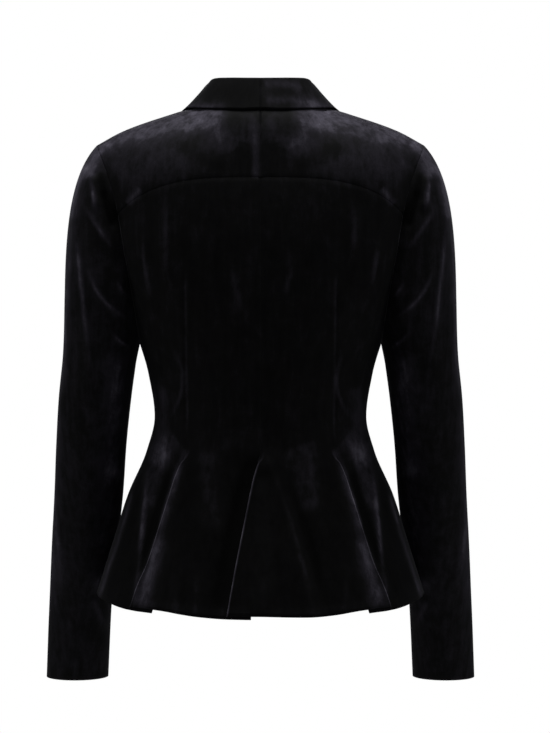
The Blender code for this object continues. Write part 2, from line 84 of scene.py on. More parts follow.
# %% Table reader and small curve helpers
def smooth_table(rows):
    """Reader of a table on a monotone cubic along its first column."""
    data = np.array(sorted(rows), float)
    x, y = data[:, 0], data[:, 1:]
    h = np.diff(x)[:, None]
    slope = np.diff(y, axis=0) / h
    tangent = np.zeros_like(y)
    tangent[0], tangent[-1] = slope[0], slope[-1]
    before, after = slope[:-1], slope[1:]
    w1, w2 = 2 * h[1:] + h[:-1], h[1:] + 2 * h[:-1]
    same = before * after > 0
    before, after = np.where(same, before, 1.0), np.where(same, after, 1.0)
    tangent[1:-1] = np.where(same, (w1 + w2) / (w1 / before + w2 / after), 0.0)

    def read(at):
        at = np.asarray(at, float)
        k = np.clip(np.searchsorted(x, at) - 1, 0, len(x) - 2)
        step = h[k, 0]
        t = np.clip((at - x[k]) / step, 0.0, 1.0)[..., None]
        step = step[..., None]
        values = (y[k] * (1 + 2 * t) * (1 - t) ** 2 + tangent[k] * step * t * (1 - t) ** 2
                  + y[k + 1] * t * t * (3 - 2 * t) + tangent[k + 1] * step * t * t * (t - 1))
        return np.moveaxis(values, -1, 0)

    return read


def smooth_step(t):
    t = np.clip(t, 0.0, 1.0)
    return t * t * (3 - 2 * t)


def unit(vectors):
    return vectors / np.sqrt((vectors ** 2).sum(axis=-1, keepdims=True))


def hermite(start, start_pull, end, end_pull, t):
    return (start * (1 + 2 * t) * (1 - t) ** 2 + start_pull * t * (1 - t) ** 2
            + end * t * t * (3 - 2 * t) + end_pull * t * t * (t - 1))


print("a quarter of the way, a smooth step has risen by", float(smooth_step(0.25)))

# %% [markdown]
# ## The body of the jacket
#
# Worn, a fitted jacket is a ring of cloth at every height: an oval that is squarer at the
# shoulder blades, narrow at the waist and wide at the hem. One function gives the face of
# the cloth at an angle from the centre back and a height. The soft flutes of the peplum
# are added to the ring, growing from nothing at the waist to their full rise at the hem.

# %% Body sections and flutes, in metres and degrees
# Columns: z, half_width, back, front, square_back, square_front.
BODY_SECTIONS = (
    (-0.620, 0.2080, 0.176, 0.163, 2.00, 1.80),
    (-0.570, 0.1920, 0.160, 0.150, 2.00, 1.80),
    (-0.500, 0.1700, 0.134, 0.131, 2.05, 1.85),
    (-0.450, 0.1540, 0.114, 0.117, 2.10, 1.95),
    (-0.400, 0.1325, 0.098, 0.105, 2.10, 2.10),
    (-0.360, 0.1232, 0.092, 0.101, 2.10, 2.10),
    (-0.310, 0.1305, 0.097, 0.105, 2.10, 2.10),
    (-0.275, 0.1405, 0.103, 0.112, 2.20, 2.20),
    (-0.220, 0.1590, 0.109, 0.117, 2.40, 2.40),
    (-0.170, 0.1750, 0.111, 0.108, 2.50, 2.50),
    (-0.131, 0.1840, 0.108, 0.095, 2.50, 2.50),
    (-0.090, 0.1970, 0.101, 0.080, 2.50, 2.50),
    (-0.060, 0.2050, 0.092, 0.070, 2.50, 2.50),
)
# Columns: angle_top, angle_hem, width, rise.
FLUTES = (
    (71.0, 57.0, 8.0, 0.0035),
    (-71.0, -57.0, 8.0, 0.0035),
    (-2.0, -20.5, 7.0, 0.0040),
    (128.0, 128.0, 13.0, 0.0060),
    (-128.0, -128.0, 13.0, 0.0060),
    (154.0, 154.0, 11.0, -0.0050),
    (-154.0, -154.0, 11.0, -0.0050),
)
PLEAT_TOP_Z = -0.392
HEM_SIDE_Z, HEM_BACK_DROP, HEM_FRONT_DROP = -0.564, 0.013, 0.004
body_section = smooth_table(BODY_SECTIONS)
print("waist", round(2000 * float(body_section(-0.360)[0])), "mm across")

# %% The face of the cloth at an angle and a height
TURN_STEP, RUN_STEP, RISE_STEP = 1e-4, 1e-3, 1e-3  # small steps that give a direction
PEPLUM_PAST = 1.1  # flutes and pleats go on growing a little below the hem


def peplum_share(z):
    """0 at the top of the pleats, 1 at the back hem."""
    return np.clip((PLEAT_TOP_Z - z) / (PLEAT_TOP_Z - HEM_SIDE_Z + HEM_BACK_DROP), 0.0, PEPLUM_PAST)


def body_radius(angle, z):
    half_width, back, front, square_back, square_front = body_section(z)
    depth = np.where(np.cos(angle) > 0, back, front)
    square = np.where(np.cos(angle) > 0, square_back, square_front)
    s, c = np.abs(np.sin(angle)), np.abs(np.cos(angle))
    radius = ((s / half_width) ** square + (c / depth) ** square) ** (-1 / square)
    share = peplum_share(z)
    for top, hem, width, rise in FLUTES:
        centre = np.radians(top + (hem - top) * share)
        away = (angle - centre + np.pi) % (2 * np.pi) - np.pi
        radius = radius + rise * share * np.exp(-(away / np.radians(width)) ** 2)
    return radius


def body_point(angle, z, offset=0.0):
    """Face of the cloth at an angle from the centre back, positive to the wearer's left."""
    angle, z = np.broadcast_arrays(np.asarray(angle, float), np.asarray(z, float))
    beside = angle + TURN_STEP
    here, ahead = body_radius(angle, z), body_radius(beside, z)
    flat = np.stack((here * np.sin(angle), here * np.cos(angle)))
    run = np.stack((ahead * np.sin(beside), ahead * np.cos(beside))) - flat
    out = np.stack((-run[1], run[0])) / np.sqrt((run ** 2).sum(axis=0))
    return np.stack((flat[0] + offset * out[0], flat[1] + offset * out[1], z), axis=-1)


def run_per_angle(angle, z):
    """Length along the body face for each radian."""
    move = body_point(angle + RUN_STEP, z) - body_point(angle - RUN_STEP, z)
    return np.sqrt((move ** 2).sum(axis=-1)) / (2 * RUN_STEP)


def angle_at(x, z, behind=True):
    """Angle at which the section has the half width x, on the back or on the front."""
    half_width, back, front, square_back, square_front = body_section(z)
    square = square_back if behind else square_front
    share = np.clip(np.abs(x) / half_width, 0.0, 1.0)
    y = (1 - share ** square) ** (1 / square) * (back if behind else -front)
    return np.arctan2(x, y)


def rise_along(angle, z):
    """Upward tangent of the body face at a fixed angle."""
    return unit(body_point(angle, z + RISE_STEP) - body_point(angle, z - RISE_STEP))


def hem_z(angle):
    behind = np.clip(np.cos(angle), 0, 1)
    before = np.clip(-np.cos(angle), 0, 1)
    return HEM_SIDE_Z - HEM_BACK_DROP * behind - HEM_FRONT_DROP * before


print("back hem", round(-1000 * float(hem_z(0.0))), "mm below the neck base")

# %% [markdown]
# ## Creases
#
# Velvet worn on a body pulls into soft folds: along the armhole, in the bend of the sleeve
# and where the waist nips in. A cloth simulation would put folds anywhere, but these have
# known places, so each is a line through three points, given in millimetres across and up,
# with a width and a rise. A point of the cloth moves out by the rise of the lines near it.
# A negative rise is a hollow.

# %% Crease lines and how far they lift the cloth
# Columns: x1, z1, x2, z2, x3, z3, width, rise.
BACK_CREASES = (
    (101, -278, 88, -322, 109, -370, 4.5, 1.5),
    (-98, -279, -86, -323, -106, -366, 4.5, 1.5),
    (106, -111, 106, -161, 103, -217, 7.0, 1.2),
    (-105, -111, -105, -150, -102, -190, 7.0, 1.2),
    (134, -149, 129, -192, 122, -232, 6.0, 1.5),
    (-132, -157, -129, -185, -123, -219, 6.0, 1.5),
    (35, -180, 27, -215, 17, -251, 8.0, 0.9),
    (-40, -172, -33, -202, -24, -229, 8.0, 0.9),
    (97, -526, 95, -551, 92, -590, 8.0, 0.8),
    (70, -528, 71, -552, 72, -592, 8.0, 0.8),
    (43, -531, 44, -554, 44, -592, 8.0, 0.8),
    (-66, -528, -70, -552, -72, -592, 8.0, 0.8),
    (-99, -522, -94, -549, -91, -590, 8.0, 0.8),
    (125, -402, 133, -485, 142, -602, 5.0, 2.6),
    (106, -410, 122, -480, 141, -545, 8.0, -3.5),
    (-125, -402, -133, -485, -144, -602, 5.0, 2.6),
    (-106, -410, -122, -480, -141, -545, 8.0, -3.5),
    (-2, -388, -40, -496, -62, -600, 6.0, 1.1),
    (-18, -396, -56, -500, -78, -600, 9.0, -2.6),
    (14, -415, 34, -500, 54, -600, 10.0, -3.0),
    (60, -380, 62, -440, 66, -510, 13.0, 0.5),
    (-57, -380, -62, -440, -68, -510, 13.0, 0.5),
)
SLEEVE_CREASES = (
    (191, -80, 190, -104, 185, -128, 5.5, 2.8),
    (179, -99, 173, -126, 165, -148, 5.5, -2.2),
    (201, -117, 184, -145, 162, -176, 5.0, 1.8),
    (217, -100, 204, -206, 193, -320, 5.5, 2.0),
    (223, -213, 225, -272, 221, -346, 7.0, 1.4),
    (196, -186, 181, -223, 148, -249, 4.5, 2.2),
    (164, -204, 158, -215, 152, -223, 4.0, 1.5),
    (171, -259, 161, -273, 149, -278, 4.5, 1.8),
    (241, -480, 237, -515, 230, -576, 7.0, 1.5),
    (198, -573, 192, -594, 182, -618, 6.0, 1.4),
)
CREASE_STEPS = 16
CREASE_REACH = 3  # widths beyond which a line no longer lifts the cloth
CREASE_FADE, STROKE_FADE = 0.22, 0.14  # share of a line over which each end dies away


def crease_lift(points, creases, spread=1.0, ends=CREASE_FADE):
    """Outward lift of each point, from its distance to the crease lines seen square on."""
    place = points[..., (0, 2)].reshape(-1, 2) * 1000
    lift = np.zeros(len(place))
    t = np.linspace(0, 1, CREASE_STEPS + 1)[:, None]
    for x1, z1, x2, z2, x3, z3, width, rise in creases:
        width = width * spread
        a, b, c = np.array((x1, z1)), np.array((x2, z2)), np.array((x3, z3))
        line = a * (1 - t) * (1 - 2 * t) + b * 4 * t * (1 - t) + c * t * (2 * t - 1)
        near = (np.abs(place - b) < np.abs(line - b).max() + CREASE_REACH * width).all(axis=1)
        start, run = line[:-1], np.diff(line, axis=0)
        away = place[near, None, :] - start
        share = np.clip((away * run).sum(axis=-1) / (run ** 2).sum(axis=-1), 0, 1)
        distance = np.sqrt(((away - share[..., None] * run) ** 2).sum(axis=-1))
        closest = distance.argmin(axis=1)
        pick = np.arange(len(closest)), closest
        along = (closest + share[pick]) / CREASE_STEPS
        fade = smooth_step(along / ends) * smooth_step((1 - along) / ends)
        lift[near] += rise * fade * np.exp(-(distance[pick] / width) ** 2)
    return lift.reshape(points.shape[:-1]) / 1000


print(len(BACK_CREASES), "creases on the back,", len(SLEEVE_CREASES), "on the back of each sleeve")

# %% [markdown]
# ## Painted light and shade on the nap
#
# The light from above makes the shoulders and the crowns of the folds pale and leaves the
# hollows dark. That light and shade is painted into the tone of the cloth as pale and dark
# strokes, and more painted light lifts the shade under the collar and beside the peplum.
# The strokes have known places too, so they are given as lines in the same way as the
# creases, with a tone in place of a rise. Most lie alike on both sides, so they are given
# once for the left. The tone is kept on the mesh as one number at each point, which the
# velvet reads as its colour.

# %% Painted light and shade strokes, and the tone they give
# Columns: x1, z1, x2, z2, x3, z3, width, tone.
# Painted highlights on the tops of the shoulders and sleeve heads, painted shade in the dark wedge
# below them, and painted light lifting the shade under the collar.
SHOULDER_LIGHT_AND_SHADE = (
    (30, -18, 106, -21, 187, -47, 17.0, 0.31),
    (52, -22, 100, -34, 150, -46, 9.0, 0.08),
    (44, -32, 64, -30, 92, -34, 8.0, 0.14),
    (50, -8, 66, -9, 82, -13, 6.0, 0.14),
    (171, -41, 190, -62, 196, -90, 9.0, 0.32),
    (28, -60, 39, -47, 57, -37, 9.0, 0.16),
    (92, -50, 66, -66, 34, -80, 11.0, -0.15),
    (172, -88, 110, -68, 20, -62, 22.0, 0.16),
    (4, -20, 16, -34, 22, -52, 12.0, 0.12),
    (152, -119, 144, -110, 135, -100, 4.5, 0.24),
    (183, -78, 176, -109, 160, -144, 6.0, -0.20),
)
# Painted highlights on the pleat faces and fold edges of the peplum, with painted shade beside them.
BODY_LIGHT_AND_SHADE = (
    (85, -190, 84, -280, 84, -390, 2.0, 0.10),
    (108, -322, 112, -362, 108, -418, 9.0, 0.14),
    (94, -382, 108, -396, 124, -418, 12.0, 0.17),
    (115, -386, 121, -424, 124, -470, 11.0, 0.13),
    (106, -396, 123, -450, 133, -530, 7.0, 0.12),
    (82, -391, 99, -436, 116, -490, 4.0, 0.20),
    (88, -405, 113, -490, 138, -578, 7.0, 0.18),
    (111, -490, 122, -534, 132, -579, 10.0, 0.22),
    (102, -416, 119, -470, 135, -528, 4.5, -0.18),
    (148, -436, 161, -490, 171, -560, 12.0, -0.06),
    (146, -440, 165, -506, 190, -580, 3.0, 0.34),
    (4, -571, 70, -570, 136, -562, 5.0, 0.08),
)
# Painted highlights down the sleeve heads and outer sleeves, and painted light lifting the shade on
# the inner sleeves beside the body and the peplum.
SLEEVE_LIGHT_AND_SHADE = (
    (204, -64, 213, -96, 218, -138, 8.0, 0.36),
    (220, -123, 225, -225, 232, -342, 6.0, 0.20),
    (237, -343, 243, -462, 250, -605, 9.0, 0.18),
    (163, -278, 166, -365, 172, -440, 13.0, 0.20),
    (168, -405, 178, -490, 187, -580, 14.0, 0.18),
)
# Strokes on one side only: painted shade beside the centre-back pleat, painted light on the peplum
# panels, and paler and darker tone on the collar and down the centre back.
SINGLE_STROKES = (
    (7, -25, 6, -59, 5, -95, 5.0, 0.22),
    (10, -397, 29, -483, 49, -578, 8.0, -0.13),
    (-33, -390, -42, -424, -58, -470, 13.0, 0.13),
    (-52, -384, -56, -410, -54, -440, 9.0, 0.10),
    (57, -392, 55, -440, 50, -492, 11.0, 0.08),
    (-2, -417, -3, -494, 3, -573, 12.0, 0.06),
    (-2, 19, -24, 20, -50, 14, 5.0, 0.20),
    (-2, -2, -33, 1, -70, -3, 5.0, 0.16),
    (74, 4, 40, 8, -4, 8, 18.0, -0.08),
)
# Ridges get a painted highlight along their crowns, hollows get painted shade, and pleat folds get a
# painted highlight along their edges; the calm tone is the cloth's own.
RIDGE_PAINTED_HIGHLIGHT, HOLLOW_PAINTED_SHADE, FOLD_PAINTED_HIGHLIGHT, CALM_BLOOM = 0.125, 0.05, 0.70, 0.145
RIDGE_SPREAD, RIDGE_FADE = 0.50, 0.45  # the painted highlight lies only along the crown of a ridge
FOLD_SHOWS = 1.2  # how soon the painted highlight on a pleat's edge shows as it folds over
SKIRT_TOP, SKIRT_FADE, SKIRT_CALM = -0.370, 0.060, 0.07  # tone lowered below the waist, over the hips


def tone_with_painted_light(points, creases, calm=1.0, stroked=1.0, strokes=BODY_LIGHT_AND_SHADE,
              darkened_below=SKIRT_CALM):
    """Tone at each point: calm cloth, painted light and shade strokes, a painted highlight on ridges
    and painted shade in hollows, lowered below the waist.
    """
    folded_over = points * np.array((-1.0, 1.0, 1.0)) ** (points[..., :1] < 0)
    painted_strokes = (crease_lift(folded_over, SHOULDER_LIGHT_AND_SHADE + strokes, ends=STROKE_FADE)
              + crease_lift(points, SINGLE_STROKES, ends=STROKE_FADE))
    crown = crease_lift(points, creases, RIDGE_SPREAD, RIDGE_FADE) * calm * 1000
    painted_fold_light = RIDGE_PAINTED_HIGHLIGHT * np.maximum(crown, 0) + HOLLOW_PAINTED_SHADE * np.minimum(crown, 0)
    skirt = smooth_step((SKIRT_TOP - points[..., 2]) / SKIRT_FADE)
    return CALM_BLOOM - darkened_below * skirt + painted_strokes * stroked * 1000 + painted_fold_light


print(len(SHOULDER_LIGHT_AND_SHADE + BODY_LIGHT_AND_SHADE + SLEEVE_LIGHT_AND_SHADE), "strokes in pairs,",
      len(SINGLE_STROKES), "single ones")

# %% [markdown]
# ## Seams
#
# At a seam the cloth turns in to its allowance, so each side rounds over into a fine
# groove. The grid of a piece already ends at its seams, so the groove is made by pulling
# the last few millimetres inward along the face's own normal.

# %% Normals of a grid of points, and the groove along its seams
GROOVE_DEPTH, GROOVE_WIDTH = 0.0007, 0.0022


def grid_normals(points, closed=False):
    if closed:
        across = np.roll(points, -1, axis=1) - np.roll(points, 1, axis=1)
    else:
        across = np.gradient(points, axis=1)
    return unit(np.cross(across, np.gradient(points, axis=0)) + 1e-15)


def edge_distance(points, edge):
    """Length along the cloth from one edge of a grid: top, bottom, first or last."""
    axis = 0 if edge in ("top", "bottom") else 1
    step = np.sqrt((np.diff(points, axis=axis) ** 2).sum(axis=-1))
    length = np.concatenate((np.zeros_like(points[:1, :, 0] if axis == 0 else points[:, :1, 0]),
                             np.cumsum(step, axis=axis)), axis=axis)
    if edge in ("bottom", "last"):
        length = (length[-1:] if axis == 0 else length[:, -1:]) - length
    return length


def seam_groove(points, edges):
    """Inward pull near the named seam edges."""
    pull = np.zeros(points.shape[:2])
    for edge in edges:
        pull = np.maximum(pull, np.exp(-(edge_distance(points, edge) / GROOVE_WIDTH) ** 2))
    return -GROOVE_DEPTH * pull


print("seam grooves", round(1000 * GROOVE_DEPTH, 2), "mm deep")

# %% [markdown]
# ## Velvet, face and reverse
#
# Cotton velvet is woven with a short upright pile that swallows light, so it is nearly
# black head on and greys where light grazes the pile. Most of that grey is painted: the
# tone kept on the mesh carries painted highlights and painted shade, and a slight microfibre
# sheen softens the edges that the eye grazes. Handling pushes the pile over in patches,
# which read as clouds of lighter and darker black. The reverse is the bare ground weave,
# flat and matt.

# %% One function for nodes, one for colours
def add_node(tree, kind, links=(), **settings):
    """Add a node, set its inputs or attributes by name, and link (input, source) pairs."""
    node = tree.nodes.new(kind)
    for name, value in settings.items():
        label = name.replace("_", " ").title()
        if label in node.inputs:
            node.inputs[label].default_value = value
        else:
            setattr(node, name, value)
    for socket, source in links:
        tree.links.new(source, node.inputs[socket])
    return node


def linear(hex_colour):
    """An sRGB hex colour as linear red, green, blue and alpha."""
    parts = [int(hex_colour[i:i + 2], 16) / 255 for i in (1, 3, 5)]
    return [p / 12.92 if p <= 0.04045 else ((p + 0.055) / 1.055) ** 2.4 for p in parts] + [1.0]


def per_metre(size_mm):
    return 1000.0 / size_mm


def start_material(name):
    material = bpy.data.materials.new(name)
    material.use_nodes = True
    tree = material.node_tree
    shader = tree.nodes["Principled BSDF"]
    where = add_node(tree, "ShaderNodeTexCoord").outputs["Object"]
    return material, tree, shader, where


print("the grey #808080 is", round(linear("#808080")[0], 3), "in linear light")

# %% Black cotton velvet, cut pile, brushed: patches, streaks and pile
PATCH_MM, CRUSH_MM, STREAK_MM, PILE_MM = 60.0, 14.0, 7.0, 1.6
STREAK_STRETCH = 0.14
velvet, tree, shader, where = start_material("black_cotton_velvet")
# The tone on the mesh holds the cloth's own dark tone with painted highlights and painted shade.
tone_and_painted_light = add_node(tree, "ShaderNodeAttribute", attribute_name="tone_and_painted_light")
patches = add_node(tree, "ShaderNodeTexNoise", [("Vector", where)],
                   scale=per_metre(PATCH_MM), detail=3.0, roughness=0.6, distortion=0.6)
crush = add_node(tree, "ShaderNodeTexNoise", [("Vector", where)],
                 scale=per_metre(CRUSH_MM), detail=5.0, roughness=0.65, distortion=0.5)
# The pile is stroked up and down the piece, so its streaks are stretched along Z.
stroked = add_node(tree, "ShaderNodeMapping", [("Vector", where)],
                   scale=(1.0, 1.0, STREAK_STRETCH))
streaks = add_node(tree, "ShaderNodeTexNoise", [("Vector", stroked.outputs["Vector"])],
                   scale=per_metre(STREAK_MM), detail=3.0, roughness=0.6)
# The real pile is about 0.3 mm apart, too fine to show, so it is drawn at PILE_MM.
pile = add_node(tree, "ShaderNodeTexNoise", [("Vector", where)],
                scale=per_metre(PILE_MM), detail=2.0, roughness=0.7)
print("velvet patterns from", PILE_MM, "to", PATCH_MM, "mm")

# %% The tone of the velvet: nearly black, paler and more uneven where light is painted on
PATCH_SWING, CRUSH_SWING, STREAK_SWING, PILE_SWING = 0.36, 0.48, 0.48, 0.20
PALE_GAIN, CALM_GAIN = 1.6, 0.18  # each noise swings the tone more where highlights are painted than on calm cloth
# The paler stops of the ramp are reached mostly where highlights are painted.
VELVET_TONES = ((0.00, "#060606"), (0.16, "#141415"), (0.36, "#2c2a31"),
                (0.62, "#54515c"), (1.00, "#8f8c99"))
tone = tone_and_painted_light.outputs["Fac"]
for noise, swing in ((patches, PATCH_SWING), (crush, CRUSH_SWING),
                     (streaks, STREAK_SWING), (pile, PILE_SWING)):
    part = add_node(tree, "ShaderNodeMath", [(0, noise.outputs["Fac"])], operation="MULTIPLY_ADD")
    part.inputs[1].default_value, part.inputs[2].default_value = swing, -swing / 2
    gain = add_node(tree, "ShaderNodeMath", [(0, tone_and_painted_light.outputs["Fac"])], operation="MULTIPLY_ADD")
    gain.inputs[1].default_value, gain.inputs[2].default_value = PALE_GAIN, CALM_GAIN
    swung = add_node(tree, "ShaderNodeMath", [(0, part.outputs[0]), (1, gain.outputs[0])],
                     operation="MULTIPLY")
    added = add_node(tree, "ShaderNodeMath", [(0, tone), (1, swung.outputs[0])], operation="ADD")
    tone = added.outputs[0]
colour = add_node(tree, "ShaderNodeValToRGB", [("Fac", tone)])
while len(colour.color_ramp.elements) < len(VELVET_TONES):
    colour.color_ramp.elements.new(0.5)
for element, (position, hex_colour) in zip(colour.color_ramp.elements, VELVET_TONES):
    element.position, element.color = position, linear(hex_colour)
tree.links.new(colour.outputs["Color"], shader.inputs["Base Color"])
print("velvet tones:", [hex_colour for position, hex_colour in VELVET_TONES])

# %% The touch of the velvet: matt, a little uneven, with a faint soft edge
ROUGH_LEAST, ROUGH_MOST = 0.56, 0.78
VELVET_SHEEN = "#d0d0dc"
rough = add_node(tree, "ShaderNodeMapRange", [("Value", crush.outputs["Fac"])])
rough.inputs["To Min"].default_value = ROUGH_LEAST
rough.inputs["To Max"].default_value = ROUGH_MOST
fine = add_node(tree, "ShaderNodeBump", [("Height", pile.outputs["Fac"])],
                strength=0.20, distance=0.0004)
brushed = add_node(tree, "ShaderNodeBump", [("Height", crush.outputs["Fac"]),
                                            ("Normal", fine.outputs["Normal"])],
                   strength=0.12, distance=0.0012)
tree.links.new(rough.outputs["Result"], shader.inputs["Roughness"])
tree.links.new(brushed.outputs["Normal"], shader.inputs["Normal"])
shader.inputs["IOR"].default_value = 1.45
shader.inputs["Specular IOR Level"].default_value = 0.05
shader.inputs["Sheen Weight"].default_value = 0.10
shader.inputs["Sheen Roughness"].default_value = 0.32
shader.inputs["Sheen Tint"].default_value = linear(VELVET_SHEEN)
print("roughness of the pile", ROUGH_LEAST, "to", ROUGH_MOST)

# %% The reverse of the velvet: plain ground weave, matt
THREAD_MM = 2.4  # real threads are about 0.25 mm, drawn wider so that they show
WAVE_REPEAT = 2 * math.pi / 20  # metres after which a wave texture of scale 1 repeats
REVERSE_DARK, REVERSE_LIGHT = "#0b0b0d", "#1a1a1d"
reverse, tree, shader, where = start_material("velvet_ground_weave")
warp = add_node(tree, "ShaderNodeTexWave", [("Vector", where)], bands_direction="X",
                scale=per_metre(THREAD_MM) * WAVE_REPEAT, distortion=0.4)
weft = add_node(tree, "ShaderNodeTexWave", [("Vector", where)], bands_direction="Z",
                scale=per_metre(THREAD_MM) * WAVE_REPEAT, distortion=0.4)
weave = add_node(tree, "ShaderNodeMath", [(0, warp.outputs["Fac"]), (1, weft.outputs["Fac"])],
                 operation="MULTIPLY")
tone = add_node(tree, "ShaderNodeValToRGB", [("Fac", weave.outputs["Value"])])
tone.color_ramp.elements[0].color = linear(REVERSE_DARK)
tone.color_ramp.elements[1].color = linear(REVERSE_LIGHT)
threads = add_node(tree, "ShaderNodeBump", [("Height", weave.outputs["Value"])],
                   strength=0.4, distance=0.0003)
tree.links.new(tone.outputs["Color"], shader.inputs["Base Color"])
tree.links.new(threads.outputs["Normal"], shader.inputs["Normal"])
shader.inputs["Roughness"].default_value = 0.9
shader.inputs["Specular IOR Level"].default_value = 0.05
print("finishes:", velvet.name, "outside,", reverse.name, "inside")

# %% [markdown]
# ## From a grid of points to a sewn piece
#
# Each piece is one sheet of cloth. Its face is a grid of points, and a solidify modifier
# gives it the thickness of velvet, inward from the face, with the reverse on the inside.
# The right-hand piece is the mirror image of the left where the pattern is cut as a pair.

# %% Cloth piece maker
CLOTH = 0.0018
made = {}


def face_outward(mesh, toward):
    """Turn the faces the way the piece faces, or away from its own middle. Gives their areas."""
    count = len(mesh.polygons)
    normals, centres, areas = np.zeros(count * 3), np.zeros(count * 3), np.zeros(count)
    mesh.polygons.foreach_get("normal", normals)
    mesh.polygons.foreach_get("center", centres)
    mesh.polygons.foreach_get("area", areas)
    normals, centres = normals.reshape(-1, 3), centres.reshape(-1, 3)
    if toward is None:
        facing = ((centres - centres.mean(axis=0))[:, :2] * normals[:, :2]).sum()
    else:
        facing = ((normals * areas[:, None]).sum(axis=0) * np.array(toward)).sum()
    if facing < 0:
        mesh.flip_normals()
    return areas


def cloth_piece(node, points, tone_and_painted_light, toward=None, mirrored=False, closed=False):
    """Lay a sheet on the face points, thicken it and put it in the node's place."""
    if mirrored:
        points = points * np.array((-1.0, 1.0, 1.0))
    rows, columns = points.shape[:2]
    index = np.arange(rows * columns).reshape(rows, columns)
    if closed:
        index = np.hstack((index, index[:, :1]))
    faces = np.stack((index[:-1, :-1], index[:-1, 1:], index[1:, 1:], index[1:, :-1]), axis=-1)
    mesh = bpy.data.meshes.new(node + "_velvet")
    mesh.from_pydata(points.reshape(-1, 3).tolist(), [], faces.reshape(-1, 4).tolist())
    areas = face_outward(mesh, toward)
    mesh.polygons.foreach_set("use_smooth", np.ones(len(mesh.polygons), bool))
    tone_layer = mesh.attributes.new("tone_and_painted_light", "FLOAT", "POINT")
    tone_layer.data.foreach_set("value", np.clip(tone_and_painted_light, 0, 1).reshape(-1).astype(np.float32))
    mesh.materials.append(velvet)
    mesh.materials.append(reverse)
    piece = bpy.data.objects.new(node + "_velvet", mesh)
    bpy.context.scene.collection.objects.link(piece)
    wall = piece.modifiers.new("cloth", "SOLIDIFY")
    wall.thickness, wall.offset, wall.use_even_offset = CLOTH, -1.0, True
    wall.material_offset, wall.material_offset_rim = 1, 1
    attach(piece, "root")
    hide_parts(node)
    made[node] = piece
    print(node, rows, "x", columns, "points,", round(float(areas.sum()), 4), "m2 of face,",
          "widest", round(float(edge_distance(points, "last").max()), 3),
          "longest", round(float(edge_distance(points, "bottom").max()), 3))
    return piece


def spaced(levels, count):
    """Heights spread evenly between the ends of a list, keeping its finer places finer."""
    return np.interp(np.linspace(0, 1, count + 1), np.linspace(0, 1, len(levels)), levels)


print("velvet", 1000 * CLOTH, "mm thick")

# %% [markdown]
# ## The yoke
#
# The yoke hangs from the neck and shoulder seams and ends in the bowed seam across the
# shoulder blades. It is a surface stretched between two curves: the bowed seam below, which
# lies on the body, and the neck and shoulder line above. A cubic from one to the other
# leaves each with the slope the cloth has there.

# %% Armhole, shoulder and neck lines
# Columns: z, back_x, front_x.
ARMHOLE = (
    (-0.275, 0.1405, 0.1405),
    (-0.262, 0.1415, 0.1415),
    (-0.220, 0.1470, 0.1460),
    (-0.170, 0.1556, 0.1500),
    (-0.131, 0.1623, 0.1550),
    (-0.088, 0.1770, 0.1720),
)
# Columns: share, x, y, z.
SHOULDER = (
    (0.00, 0.0700, 0.008, -0.0020),
    (0.15, 0.0880, 0.008, -0.0048),
    (0.30, 0.1060, 0.008, -0.0102),
    (0.75, 0.1600, 0.006, -0.0290),
    (1.00, 0.1900, 0.004, -0.0450),
)
YOKE_CENTRE_Z, YOKE_ARM_Z, YOKE_BOW = -0.090, -0.129, 3.2
NECK_HALF_WIDTH, NECK_BACK, NECK_CENTRE_Y, NECK_BACK_Z = 0.0700, 0.0580, 0.008, -0.0060
NECK_SHARE, SHOULDER_TILT, NECK_RISE = 0.42, 0.05, 0.30
NECK_PULL, SHOULDER_PULL, SEAM_PULL = 0.95, 1.35, 1.05  # how far each edge leads the cubic
armhole_edge = smooth_table(ARMHOLE)
shoulder_line = smooth_table(SHOULDER)


def neck_point(angle):
    """Back neck seam, angle 0 at the centre back and a quarter turn at the shoulder seam."""
    share = np.sin(angle) ** 4
    return np.stack((NECK_HALF_WIDTH * np.sin(angle), NECK_CENTRE_Y + NECK_BACK * np.cos(angle),
                     NECK_BACK_Z + (SHOULDER[0][3] - NECK_BACK_Z) * share), axis=-1)


def shoulder_point(share):
    return np.stack(shoulder_line(share), axis=-1)


def yoke_seam_z(f):
    return YOKE_CENTRE_Z + (YOKE_ARM_Z - YOKE_CENTRE_Z) * f ** YOKE_BOW


def yoke_point(f, v):
    """Yoke face: f from the centre back to the armhole, v from the yoke seam to the top."""
    f, v = np.broadcast_arrays(np.asarray(f, float), np.asarray(v, float))
    z = yoke_seam_z(f)
    angle = angle_at(f * armhole_edge(z)[0], z)
    low = body_point(angle, z)
    turn = np.clip(f / NECK_SHARE, 0, 1) * np.pi / 2
    along = np.clip((f - NECK_SHARE) / (1 - NECK_SHARE), 0, 1)
    high = np.where((f < NECK_SHARE)[..., None], neck_point(turn), shoulder_point(along))
    outer = smooth_step(f / NECK_SHARE)
    pull = unit(np.stack((0.0 * f, -1.0 + 0.0 * f, NECK_RISE * (1 - outer) + SHOULDER_TILT), axis=-1))
    pull = pull * (NECK_PULL + (SHOULDER_PULL - NECK_PULL) * outer)[..., None]
    reach = np.sqrt(((high - low) ** 2).sum(axis=-1, keepdims=True))
    return hermite(low, rise_along(angle, z) * reach * SEAM_PULL, high, pull * reach, v[..., None])


print("shoulder tip to tip", round(2000 * SHOULDER[-1][1]), "mm")

# %% Sew the yokes
YOKE_GRID, EASE_ROUNDS = (110, 72), 70
EASE_STOPS = 0.2  # the easing dies away over this share of the height, below the top edge
ROW_CROWD = 1.4  # rows crowd towards the neck and shoulder seams
EDGE_CALM = 0.012  # creases fade out this near an armhole, where two pieces meet at a slant
v = 1 - np.linspace(1, 0, YOKE_GRID[1] + 1)[:, None] ** ROW_CROWD
f = np.linspace(0, 1, YOKE_GRID[0] + 1)[None, :]
yoke = yoke_point(f + 0 * v, v + 0 * f)
